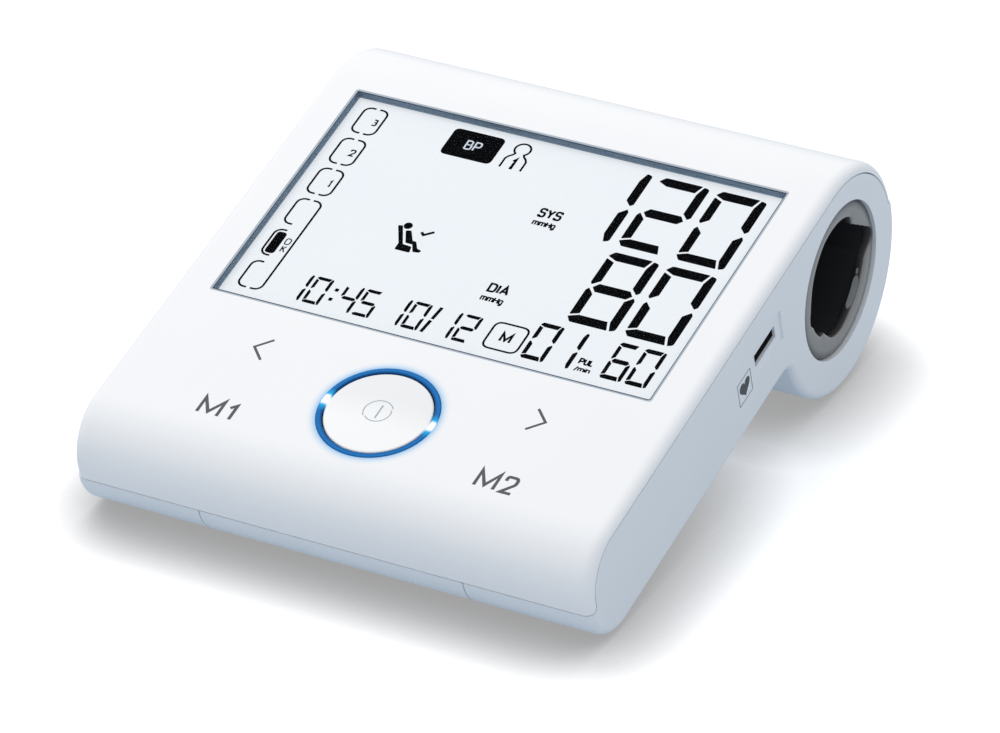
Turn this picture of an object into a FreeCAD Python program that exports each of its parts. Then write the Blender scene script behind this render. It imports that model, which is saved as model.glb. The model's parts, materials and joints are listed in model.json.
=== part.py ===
"""Desktop upper-arm blood pressure monitor: a sloping display slab on a round storage roll.

Everything is modelled in the slab frame: X to the right, Y up the slope towards the roll and
Z out of the top face, with its zero at the middle of the display window, in millimetres.
Each finished piece is then tilted and lifted, so that the feet stand on Z = 0 and the origin
lies under the middle of the body.
"""

import FreeCAD
import Part
import math
import os
import Sketcher

doc = FreeCAD.newDocument("blood_pressure_monitor")
Vector = FreeCAD.Vector

# how far a cutting tool, or the root of a joined piece, reaches past the face it crosses
PAST = 1.0
FAR_PAST = 5.0
DEGREES_PER_RADIAN = 180 / math.pi
CELL_COUNT = 4

DRIVING_SIZES = {
    # body: side profile, walls and the joint line between the two shells
    "body_w": 139.3,
    "roll_r": 29.9,
    "nose_r": 13.5,
    "toe_r": 14.2,
    "heel_r": 5.5,
    "edge_r": 2.8,
    "edge_low_r": 1.9,
    "shell_t": 2.2,
    "cover_t": 1.7,
    "seam_inset": 2.4,
    "seam_gap": 0.3,
    "seam_drop": 16.0,
    "seam_corner_r": 1.7,
    "seam_end_angle": 3.5,
    "rib_t": 1.2,
    "rib_depth": 3.0,
    "rib_len": 30.0,
    # clearances
    "seat_gap": 0.1,
    "slide_gap": 0.3,
    # display window stack
    "window_side": 9.65,
    "window_l": 77.3,
    "window_corner_r": 0.8,
    "rim_t": 0.45,
    "lens_t": 1.4,
    "lens_drop": 0.15,
    "lens_ledge": 0.35,
    "lcd_drop": 2.9,
    "lcd_t": 2.2,
    "frame_flange": 2.0,
    "backlight_t": 2.6,
    "zebra_w": 2.0,
    "zebra_margin": 2.0,
    # control board
    "board_drop": 8.0,
    "board_t": 1.6,
    "board_side": 17.65,
    "board_front_gap": 11.3,
    "board_rear_margin": 2.85,
    "board_boss_side": 21.65,
    "board_boss_wall": 1.25,
    "board_boss_gap": 0.8,
    "board_boss_margin": 4.0,
    "board_screw_r": 0.95,
    "board_screw_head_r": 2.1,
    "board_screw_head_t": 1.3,
    "board_screw_grip": 3.0,
    "chip_side": 16.0,
    "chip_pitch": 18.2,
    "chip_w": 14.0,
    "chip_t": 1.4,
    # start key with its light ring
    "key_window_gap": 24.65,
    "key_front_gap": 30.0,
    "ring_w": 1.4,
    "ring_proud": 0.15,
    "ring_chamfer": 0.15,
    "ring_depth": 3.4,
    "ring_flange_w": 2.2,
    "ring_leg_w": 1.8,
    "ring_leg_depth": 6.6,
    "key_r": 13.3,
    "key_crown": 0.5,
    "key_edge_r": 0.5,
    "key_skirt": 3.8,
    "key_flange_w": 1.2,
    "key_flange_t": 1.0,
    "key_wall": 1.5,
    "key_stem_r": 2.5,
    "key_travel": 0.6,
    "switch_w": 6.0,
    "switch_t": 2.4,
    "switch_pin_r": 1.6,
    "switch_pin_t": 0.6,
    "led_w": 3.0,
    "led_t": 1.2,
    # touch keys
    "touch_side": 32.15,
    "touch_near_gap": 11.7,
    "touch_far_gap": 10.3,
    "touch_r": 4.5,
    "touch_base_r": 3.1,
    "touch_sheet_t": 0.9,
    # stick store in the roll
    "roll_window_gap": 3.35,
    "store_shift": 1.15,
    "store_board_gap": 0.4,
    "store_r": 15.8,
    "store_t": 1.3,
    "store_end_gap": 1.9,
    "store_end_t": 1.5,
    "lobe_r": 4.5,
    "lobe_out": 3.2,
    "mouth_w": 4.5,
    "mouth_set_back": 0.3,
    "mouth_dish": 1.0,
    "mouth_rim": 0.4,
    "mouth_t": 3.0,
    "mouth_flange_w": 1.5,
    "mouth_flange_t": 1.0,
    # side socket
    "socket_y": 1.4,
    "socket_drop": 15.2,
    "socket_slot_l": 11.3,
    "socket_slot_h": 3.6,
    "socket_recess_l": 17.0,
    "socket_recess_h": 9.0,
    "socket_recess_d": 0.6,
    "socket_body_d": 8.0,
    "socket_wall": 1.2,
    "socket_tongue_t": 0.8,
    # air path
    "air_y": 2.0,
    "air_drop": 17.0,
    "air_socket_wall": 1.9,
    "air_bore_r": 4.1,
    "air_bore_depth": 11.0,
    "air_flange_w": 1.5,
    "air_flange_t": 1.5,
    "air_end_wall": 2.0,
    "nipple_r": 1.8,
    "nipple_l": 3.2,
    "hose_t": 1.1,
    "manifold_side": 21.65,
    "manifold_w": 10.0,
    "manifold_l": 16.0,
    "manifold_h": 10.5,
    "manifold_drop": 11.5,
    "manifold_post_w": 6.0,
    "valve_l": 9.0,
    "sensor_l": 8.0,
    "sensor_h": 6.0,
    # pump
    "pump_head_l": 16.0,
    "pump_head_w": 20.0,
    "pump_h": 15.1,
    "pump_can_r": 10.05,
    "pump_can_l": 26.0,
    "pump_end_r": 3.0,
    "pump_end_l": 1.5,
    "pump_shaft_r": 1.0,
    "pump_bearing_gap": 0.05,
    "pump_cam_gap": 0.9,
    "pump_cam_r": 4.5,
    "pump_cam_throw": 0.8,
    "pump_cam_t": 3.5,
    "pump_end_play": 1.0,
    "pump_pad_t": 1.2,
    # mains adapter socket
    "jack_y": 34.0,
    "jack_drop": 17.0,
    "jack_wall": 1.45,
    "jack_bore_r": 2.75,
    "jack_bore_depth": 9.5,
    "jack_pin_r": 0.8,
    "jack_l": 14.0,
    "jack_w": 11.0,
    # battery bay and door
    "cell_gap": 0.4,
    "cell_l": 49.5,
    "cell_nub_r": 2.7,
    "cell_nub_l": 1.0,
    "cell_end_room": 3.25,
    "cell_door_gap": 0.8,
    "bay_w": 62.0,
    "bay_side_gap": 1.6,
    "bay_front_gap": 9.3,
    "bay_board_gap": 1.2,
    "bay_top_gap": 0.6,
    "bay_wall": 1.5,
    "contact_t": 0.4,
    "contact_h": 10.0,
    "contact_gap": 1.5,
    "spring_wide_r": 4.3,
    "spring_narrow_r": 2.9,
    "door_w": 70.9,
    "door_overlap": 4.0,
    "tongue_w": 1.2,
    "tongue_t": 0.8,
    "tongue_front_gap": 15.3,
    "lip_t": 1.0,
    "liner_t": 1.5,
    "liner_rim_w": 2.3,
    "liner_back_l": 3.0,
    "grip_l": 20.0,
    "grip_w": 1.0,
    "grip_depth": 0.5,
    "grip_pitch": 3.0,
    "grip_margin": 6.0,
    # feet
    "foot_l": 14.0,
    "foot_w": 5.0,
    "foot_t": 1.6,
    "foot_proud": 0.8,
    "foot_corner_r": 2.4,
    "foot_side": 19.65,
    # housing screws
    "screw_side_near": 11.65,
    "screw_side_far": 19.65,
    "screw_front_gap": 21.3,
    "screw_store_gap": 0.85,
    "screw_r": 1.4,
    "screw_head_r": 2.8,
    "screw_head_t": 1.5,
    "screw_l": 15.0,
    "screw_sink_near": 5.0,
    "screw_rise_far": 21.0,
    "boss_wall": 1.1,
    "boss_bridge": 6.0,
    "post_wall": 1.6,
}


class Size:
    """A length or an angle that carries its number and its spreadsheet expression."""

    def __init__(self, value, text):
        self.value = float(value)
        self.text = text

    def __add__(self, other):
        other = size(other)
        return Size(self.value + other.value, f"({self.text} + {other.text})")

    def __sub__(self, other):
        other = size(other)
        return Size(self.value - other.value, f"({self.text} - {other.text})")

    def __mul__(self, other):
        other = size(other)
        return Size(self.value * other.value, f"({self.text} * {other.text})")

    def __truediv__(self, other):
        other = size(other)
        return Size(self.value / other.value, f"({self.text} / {other.text})")

    def __neg__(self):
        return Size(-self.value, f"(-1 * {self.text})")

    def __radd__(self, other):
        return size(other) + self

    def __rsub__(self, other):
        return size(other) - self

    def __rmul__(self, other):
        return size(other) * self


def size(number):
    """Returns a plain number as a Size."""
    if isinstance(number, Size):
        return number
    return Size(number, repr(float(number)))


def root(amount):
    return Size(math.sqrt(amount.value), f"sqrt({amount.text})")


def sine(angle):
    return Size(math.sin(math.radians(angle.value)), f"sin({angle.text})")


def cosine(angle):
    return Size(math.cos(math.radians(angle.value)), f"cos({angle.text})")


def arc_sine(ratio):
    return Size(math.degrees(math.asin(ratio.value)), f"asin({ratio.text})")


def arc_tangent(ratio):
    return Size(math.degrees(math.atan(ratio.value)), f"atan({ratio.text})")


def make_sheet():
    """Writes the driving sizes into a spreadsheet and returns them as Size values by name."""
    sheet = doc.addObject("Spreadsheet::Sheet", "sizes")
    named = {}
    for row, (alias, number) in enumerate(DRIVING_SIZES.items(), start=1):
        sheet.set(f"A{row}", alias)
        sheet.set(f"B{row}", str(number))
        sheet.setAlias(f"B{row}", alias)
        named[alias] = Size(number, f"sizes.{alias}")
    doc.recompute()
    return named


class Values:
    """The driving sizes, and the places worked out from them, as attributes."""

    def __init__(self, named):
        self.__dict__.update(named)
        self.half_w = self.body_w / 2
        self.inner_half_w = self.half_w - self.shell_t
        self.set_row_from_window()
        self.set_cells_and_thickness()
        self.set_store()
        self.set_round_walls()
        self.nose_y = self.nose_r - self.front_reach
        self.toe_y = self.toe_r - self.front_reach
        # the heel fillet touches the underside and the roll
        self.heel_drop = self.slab_t + self.heel_r
        heel_side = self.heel_drop - self.roll_r
        heel_span = self.roll_r + self.heel_r
        self.heel_y = self.roll_y - root(heel_span * heel_span - heel_side * heel_side)
        # the floor touches the toe and the roll from below: its slope is the slab's tilt
        run = self.roll_y - self.toe_y
        fall = self.roll_r - (self.slab_t - self.toe_r)
        reach = root(run * run + fall * fall)
        self.tilt = arc_sine((self.roll_r - self.toe_r) / reach) + arc_tangent(fall / run)
        self.floor_up = (sine(self.tilt), cosine(self.tilt))
        self.lift = (self.foot_proud + self.roll_r + self.roll_r * cosine(self.tilt)
                     - self.roll_y * sine(self.tilt))
        front = (self.nose_y * cosine(self.tilt) + self.nose_r * sine(self.tilt)
                 - self.nose_r)
        back = self.roll_y * cosine(self.tilt) + self.roll_r * sine(self.tilt) + self.roll_r
        self.shift = -(front + back) / 2

    def set_row_from_window(self):
        """Places along the slope, outwards from the window, and across from the sides."""
        self.window_w = self.body_w - self.window_side * 2
        self.key_y = self.window_l / 2 + self.key_window_gap
        self.front_reach = self.key_y + self.key_front_gap
        self.roll_y = self.window_l / 2 + self.roll_window_gap
        self.touch_row_near = self.key_y + self.touch_near_gap
        self.touch_row_far = self.key_y - self.touch_far_gap
        self.board_boss_r = self.board_screw_r + self.board_boss_wall
        self.board_boss_x = self.half_w - self.board_boss_side
        self.board_boss_row = (self.window_l / 2 + self.frame_flange + self.board_boss_r
                               + self.board_boss_gap)
        self.board_w = self.body_w - self.board_side * 2
        self.chip_x = self.board_w / 2 - self.chip_side
        self.touch_x = self.half_w - self.touch_side
        self.board_front = self.front_reach - self.board_front_gap
        self.board_rear = self.board_boss_row + self.board_rear_margin
        self.board_under = -(self.board_drop + self.board_t)
        self.zebra_l = self.board_w - self.zebra_margin * 2
        self.screw_x_near = self.half_w - self.screw_side_near
        self.screw_y_near = self.front_reach - self.screw_front_gap
        self.screw_x_far = self.half_w - self.screw_side_far
        self.foot_x = self.half_w - self.foot_side
        self.manifold_x = self.half_w - self.manifold_side

    def set_cells_and_thickness(self):
        """Cells that share the bay's width, and a slab as thick as board and cells need."""
        gaps = self.bay_side_gap * 2 + self.cell_gap * (CELL_COUNT - 1)
        self.cell_r = (self.bay_w - gaps) / (CELL_COUNT * 2)
        self.cell_pitch = self.cell_r * 2 + self.cell_gap
        self.contact_bridge = self.cell_pitch * 2 - self.contact_gap
        self.contact_single = self.cell_pitch - self.contact_gap * 2
        self.slab_t = (self.board_drop + self.board_t + self.bay_board_gap + self.bay_wall
                       + self.bay_top_gap + self.cell_r * 2 + self.cell_door_gap
                       + self.shell_t)
        self.floor_z = self.shell_t - self.slab_t
        self.cell_drop = self.slab_t - self.shell_t - self.cell_door_gap - self.cell_r
        self.bay_top = self.cell_r + self.bay_top_gap - self.cell_drop
        self.bay_front = self.front_reach - self.bay_front_gap
        self.bay_rear = self.bay_front - self.cell_l - self.cell_end_room * 2
        self.door_rear = self.bay_rear - self.door_overlap
        self.tongue_front = self.front_reach - self.tongue_front_gap
        self.pump_drop = -(self.board_under + self.floor_z) / 2
        self.screw_seat_near = self.slab_t - self.screw_sink_near

    def set_store(self):
        """The stick store under the board's screws, its lobe and mouth, and the rear screws."""
        self.store_y = self.roll_y - self.store_shift
        self.store_drop = (self.board_drop + self.board_t + self.board_screw_head_t
                           + self.store_board_gap + self.store_t + self.store_r)
        self.lobe_y = self.store_r + self.lobe_out - self.lobe_r
        self.mouth_r = self.store_r + self.mouth_w
        self.mouth_flange_r = self.mouth_r + self.mouth_flange_w
        self.post_r = self.screw_r + self.post_wall
        self.screw_y_far = (self.store_y + self.store_r + self.lobe_out + self.store_t
                            + self.screw_store_gap + self.post_r)
        self.screw_seat_far = self.roll_r * 2 - self.screw_rise_far

    def set_round_walls(self):
        """Outer radii of what surrounds the key, the sockets, the cam and the screws."""
        self.ring_inner_r = self.key_r + self.slide_gap
        self.ring_r = self.ring_inner_r + self.ring_w
        self.ring_flange_r = self.ring_r + self.ring_flange_w
        self.ring_leg_r = self.ring_r + self.ring_leg_w
        self.key_flange_r = self.key_r + self.key_flange_w
        self.air_socket_r = self.air_bore_r + self.air_socket_wall
        self.air_flange_r = self.air_socket_r + self.air_flange_w
        self.air_socket_l = self.air_bore_depth + self.air_end_wall
        self.air_x = self.half_w - self.air_socket_l
        self.jack_r = self.jack_bore_r + self.jack_wall
        self.pump_cavity_r = self.pump_cam_r + self.pump_cam_throw + self.pump_cam_gap
        self.boss_r = self.screw_head_r + self.slide_gap + self.boss_wall


def bind(thing, prop, amount):
    """Ties a property to the spreadsheet through a Size."""
    amount = size(amount)
    thing.setExpression(prop, amount.text)


def block(name, x_range, y_range, z_range):
    """A Part::Box between two values along each axis."""
    box = doc.addObject("Part::Box", name)
    for prop, axis, (low, high) in (
        ("Length", "x", x_range), ("Width", "y", y_range), ("Height", "z", z_range),
    ):
        bind(box, prop, size(high) - size(low))
        bind(box, f"Placement.Base.{axis}", low)
    return box


TURNS = {
    "x": FreeCAD.Rotation(Vector(0, 1, 0), 90),
    "y": FreeCAD.Rotation(Vector(1, 0, 0), -90),
    "z": FreeCAD.Rotation(),
}


def rod(name, radius, axis, start, length):
    """A Part::Cylinder from a start point along +X, +Y or +Z."""
    cylinder = doc.addObject("Part::Cylinder", name)
    cylinder.Placement = FreeCAD.Placement(Vector(), TURNS[axis])
    bind(cylinder, "Radius", radius)
    bind(cylinder, "Height", length)
    for letter, place in zip("xyz", start):
        bind(cylinder, f"Placement.Base.{letter}", place)
    return cylinder


def taper(name, radius_low, radius_high, axis, start, length):
    """A Part::Cone from a start point along +X, +Y or +Z."""
    cone = doc.addObject("Part::Cone", name)
    cone.Placement = FreeCAD.Placement(Vector(), TURNS[axis])
    bind(cone, "Radius1", radius_low)
    bind(cone, "Radius2", radius_high)
    bind(cone, "Height", length)
    for letter, place in zip("xyz", start):
        bind(cone, f"Placement.Base.{letter}", place)
    return cone


def fuse(name, *pieces):
    if len(pieces) == 1:
        return pieces[0]
    joined = doc.addObject("Part::MultiFuse", name)
    joined.Shapes = list(pieces)
    return joined


def cut(name, base, *tools):
    """The base less all the tools."""
    result = doc.addObject("Part::Cut", name)
    result.Base = base
    result.Tool = fuse(f"{name}_tools", *tools)
    return result


def common(name, *pieces):
    overlap = doc.addObject("Part::MultiCommon", name)
    overlap.Shapes = list(pieces)
    return overlap


def origin_plane(body, role):
    return next(plane for plane in body.Origin.OriginFeatures if plane.Role == role)


def outline_sketch(body, role, corners):
    """A closed sketch through corners of (across, up, arc radius or None, arc centre or None).

    A corner's arc runs from it to the next corner, around the given centre, and a negative
    radius makes it run clockwise.
    """
    sketch = body.newObject("Sketcher::SketchObject", f"{body.Name}_sketch")
    sketch.AttachmentSupport = [(origin_plane(body, role), "")]
    sketch.MapMode = "FlatFace"
    count = len(corners)
    ends = []
    for index, (across, up, radius, centre) in enumerate(corners):
        following = corners[(index + 1) % count]
        here = Vector(size(across).value, size(up).value, 0)
        there = Vector(size(following[0]).value, size(following[1]).value, 0)
        if radius is None:
            sketch.addGeometry(Part.LineSegment(here, there), False)
            ends.append((1, 2))
            continue
        middle = Vector(size(centre[0]).value, size(centre[1]).value, 0)
        ring = Part.Circle(middle, Vector(0, 0, 1), abs(size(radius).value))
        first, last = (here, there) if size(radius).value > 0 else (there, here)
        start = math.atan2(first.y - middle.y, first.x - middle.x)
        stop = math.atan2(last.y - middle.y, last.x - middle.x)
        if stop < start:
            stop += 2 * math.pi
        sketch.addGeometry(Part.ArcOfCircle(ring, start, stop), False)
        ends.append((1, 2) if size(radius).value > 0 else (2, 1))
    for index in range(count):
        following = (index + 1) % count
        sketch.addConstraint(Sketcher.Constraint(
            "Coincident", index, ends[index][1], following, ends[following][0]))
    for index, (across, up, radius, centre) in enumerate(corners):
        for kind, amount in (("DistanceX", across), ("DistanceY", up)):
            number = sketch.addConstraint(Sketcher.Constraint(
                kind, -1, 1, index, ends[index][0], size(amount).value))
            bind(sketch, f"Constraints[{number}]", amount)
        if radius is not None:
            number = sketch.addConstraint(Sketcher.Constraint(
                "Radius", index, abs(size(radius).value)))
            bind(sketch, f"Constraints[{number}]", radius if size(radius).value > 0 else -radius)
    return sketch


def prism(name, role, corners, length):
    """A Body padded from a closed outline, half its length to each side of the plane."""
    body = doc.addObject("PartDesign::Body", name)
    sketch = outline_sketch(body, role, corners)
    pad = body.newObject("PartDesign::Pad", f"{name}_pad")
    pad.Profile = sketch
    pad.SideType = "Symmetric"
    bind(pad, "Length", length)
    sketch.Visibility = False
    return body


def turned(name, corners):
    """A Body revolved about its own Z axis, from corners of (radius, height).

    A corner may go on with its arc's radius and centre, as in outline_sketch.
    """
    body = doc.addObject("PartDesign::Body", name)
    full = [corner if len(corner) > 2 else (*corner, None, None) for corner in corners]
    sketch = outline_sketch(body, "XZ_Plane", full)
    turn = body.newObject("PartDesign::Revolution", f"{name}_turn")
    turn.Profile = sketch
    turn.ReferenceAxis = (sketch, ["V_Axis"])
    turn.Angle = 360.0
    return body


def fillet_body(body, radius, wanted):
    """Rounds the edges of a Body's tip for which wanted(edge) is true."""
    doc.recompute()
    tip = body.Tip
    names = [f"Edge{index}" for index, edge in enumerate(tip.Shape.Edges, start=1)
             if wanted(edge)]
    rounding = body.newObject("PartDesign::Fillet", f"{body.Name}_fillet")
    rounding.Base = (tip, names)
    bind(rounding, "Radius", radius)
    return body


def fillet_part(name, base, radius, wanted):
    """A Part::Fillet on the edges of an object for which wanted(edge) is true."""
    doc.recompute()
    rounding = doc.addObject("Part::Fillet", name)
    rounding.Base = base
    amount = size(radius).value
    rounding.Edges = [(index, amount, amount)
                      for index, edge in enumerate(base.Shape.Edges, start=1) if wanted(edge)]
    return rounding


def upright(edge):
    """True for a straight edge along Z."""
    box = edge.BoundBox
    return box.XLength < 1e-6 and box.YLength < 1e-6


def along_x(edge):
    """True for a straight edge along X."""
    box = edge.BoundBox
    return box.YLength < 1e-6 and box.ZLength < 1e-6


class Profile:
    """Side outlines of the body: the slab's front, its underside, the heel and the roll."""

    def __init__(self, v):
        self.v = v

    def solid(self, name, inset, width):
        """The body's side outline, moved inwards by an inset, padded to a width."""
        v = self.v
        roll = v.roll_r - inset
        heel = v.heel_r + inset
        nose = v.nose_r - inset
        toe = v.toe_r - inset
        span = v.roll_r + v.heel_r
        heel_out = (v.heel_y - v.roll_y) / span
        heel_down = (v.roll_r - v.heel_drop) / span
        corners = [
            (v.nose_y, -inset, None, None),
            (v.roll_y, -inset, -roll, (v.roll_y, -v.roll_r)),
            (v.roll_y + roll * heel_out, roll * heel_down - v.roll_r,
             heel, (v.heel_y, -v.heel_drop)),
            (v.heel_y, inset - v.slab_t, None, None),
            (v.toe_y, inset - v.slab_t, -toe, (v.toe_y, v.toe_r - v.slab_t)),
            (inset - v.front_reach, v.toe_r - v.slab_t, None, None),
            (inset - v.front_reach, -v.nose_r, -nose, (v.nose_y, -v.nose_r)),
        ]
        return prism(name, "YZ_Plane", corners, width)

    def below_seam(self, name, gap):
        """Everything under the joint line of the shells, lowered by a gap."""
        v = self.v
        inset = v.seam_inset + gap
        angle = v.seam_end_angle - gap / v.roll_r * DEGREES_PER_RADIAN
        out_r = v.roll_r + FAR_PAST
        seam_r = v.roll_r - inset
        far_y = v.roll_y + out_r * cosine(angle)
        near_y = -v.front_reach - FAR_PAST
        bottom = -v.roll_r * 2 - FAR_PAST
        corners = [
            (v.nose_y, -inset, v.nose_r - inset, (v.nose_y, -v.nose_r)),
            (inset - v.front_reach, -v.nose_r, None, None),
            (inset - v.front_reach, -v.seam_drop - gap, None, None),
            (near_y, -v.seam_drop - gap, None, None),
            (near_y, bottom, None, None),
            (far_y, bottom, None, None),
            (far_y, out_r * sine(angle) - v.roll_r, None, None),
            (v.roll_y + seam_r * cosine(angle), seam_r * sine(angle) - v.roll_r,
             seam_r, (v.roll_y, -v.roll_r)),
            (v.roll_y, -inset, None, None),
        ]
        body = prism(name, "YZ_Plane", corners, v.body_w + FAR_PAST * 2)
        turns = (
            (inset - v.front_reach, -v.seam_drop - gap),
            (v.roll_y + seam_r * cosine(angle), seam_r * sine(angle) - v.roll_r),
        )

        def at_turn(edge):
            if not along_x(edge):
                return False
            middle = edge.CenterOfMass
            return any(abs(middle.y - y.value) < 1e-3 and abs(middle.z - z.value) < 1e-3
                       for y, z in turns)

        return fillet_body(body, v.seam_corner_r, at_turn)


def mirrored_x(name, maker):
    """Makes a piece at +X and its twin at -X and returns both."""
    return [maker(f"{name}_{side}", sign) for side, sign in (("right", 1), ("left", -1))]


def span(middle, width):
    """The range of a width around a middle."""
    return (middle - width / 2, middle + width / 2)


def foot_places(v):
    """Centres of the four feet as (x, y, z) on the shell's lowest lines."""
    up_y, up_z = v.floor_up
    rows = (
        (v.toe_y - v.toe_r * up_y, v.toe_r - v.slab_t - v.toe_r * up_z),
        (v.roll_y - v.roll_r * up_y, -v.roll_r - v.roll_r * up_z),
    )
    return [(sign * v.foot_x, y, z) for y, z in rows for sign in (1, -1)]


def foot_block(name, v, place, extra):
    """A pad square to the floor around a foot's place, larger all round by an extra."""
    up_y, up_z = v.floor_up
    x, y, z = place
    box = doc.addObject("Part::Box", name)
    box.Placement = FreeCAD.Placement(Vector(), FreeCAD.Rotation(Vector(1, 0, 0), -1))
    bind(box, "Length", v.foot_l + extra * 2)
    bind(box, "Width", v.foot_w + extra * 2)
    bind(box, "Height", v.foot_t)
    half = v.foot_w / 2 + extra
    bind(box, "Placement.Base.x", x - v.foot_l / 2 - extra)
    bind(box, "Placement.Base.y", y - v.foot_proud * up_y - half * up_z)
    bind(box, "Placement.Base.z", z - v.foot_proud * up_z + half * up_y)
    bind(box, "Placement.Rotation.Angle", -v.tilt)
    return box


def screw_places(v):
    """Housing screws as (name, x, y, seat height of the head)."""
    places = []
    for side, sign in (("right", 1), ("left", -1)):
        places.append((f"near_{side}", sign * v.screw_x_near, -v.screw_y_near,
                       -v.screw_seat_near))
        places.append((f"far_{side}", sign * v.screw_x_far, v.screw_y_far,
                       -v.screw_seat_far))
    return places


def post_end(v, seat):
    """Height where a cover post meets its housing boss."""
    return seat + v.boss_bridge


def board_boss_places(v):
    """Board screws as (x, y): two beside the keys, two before and two behind the window."""
    rows = (v.board_boss_margin - v.board_front, -v.board_boss_row, v.board_boss_row)
    return [(sign * v.board_boss_x, y) for y in rows for sign in (1, -1)]


def touch_places(v):
    """Middles of the four touch keys: two arrows in the far row, two memories in the near."""
    return [(sign * v.touch_x, -row) for row in (v.touch_row_far, v.touch_row_near)
            for sign in (-1, 1)]


def rounded_outer(name, v, profile, radius):
    """The body's full outline with both of its sides' edges rounded."""
    side = v.half_w.value
    return fillet_body(profile.solid(name, size(0), v.body_w), radius,
                       lambda edge: abs(abs(edge.CenterOfMass.x) - side) < 1e-6)


def make_upper_cover(v, outer, profile):
    """Top shell: one bent strip over nose, slope and roll, with posts on its inside."""
    under_seam = profile.below_seam("cover_seam", size(0))
    hollow = profile.solid("cover_hollow", v.cover_t, v.inner_half_w * 2)
    plate = cut("cover_plate", outer, under_seam, hollow)
    inside = profile.solid("cover_inside", v.cover_t / 2, v.inner_half_w * 2)
    stems = []
    for name, x, y, seat in screw_places(v):
        end = post_end(v, seat)
        stems.append(rod(f"cover_post_{name}", v.post_r, "z", (x, y, end), -end))
    for number, (x, y) in enumerate(board_boss_places(v)):
        stems.append(rod(f"board_boss_{number}", v.board_boss_r, "z",
                         (x, y, -v.board_drop), v.board_drop))
    held = common("cover_stems", fuse("cover_stems_all", *stems), inside)

    def rib(name, sign):
        outer_x = sign * (v.inner_half_w - v.slide_gap)
        inner_x = sign * (v.inner_half_w - v.slide_gap - v.rib_t)
        sides = (inner_x, outer_x) if sign > 0 else (outer_x, inner_x)
        return block(name, sides, span(size(0), v.rib_len),
                     (-v.cover_t - v.rib_depth, -v.cover_t / 2))

    ribs = mirrored_x("cover_rib", rib)
    solid = fuse("cover_solid", plate, held, *ribs)
    window = block("window_cut", span(size(0), v.window_w), span(size(0), v.window_l),
                   (-v.cover_t * 2, size(PAST)))
    window = fillet_part("window_round", window, v.window_corner_r, upright)
    tools = [window, rod("ring_cut", v.ring_r + v.seat_gap, "z",
                         (size(0), -v.key_y, -v.cover_t * 2), v.cover_t * 3)]
    for name, x, y, seat in screw_places(v):
        tools.append(rod(f"post_pilot_{name}", v.screw_r + v.seat_gap / 2, "z",
                         (x, y, post_end(v, seat) - PAST), v.screw_l - v.boss_bridge + PAST * 2))
    for number, (x, y) in enumerate(board_boss_places(v)):
        tools.append(rod(f"board_pilot_{number}", v.board_screw_r + v.seat_gap / 2, "z",
                         (x, y, -v.board_drop - PAST), v.board_screw_grip + PAST * 2))
    return cut("upper_cover", solid, *tools)


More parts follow.
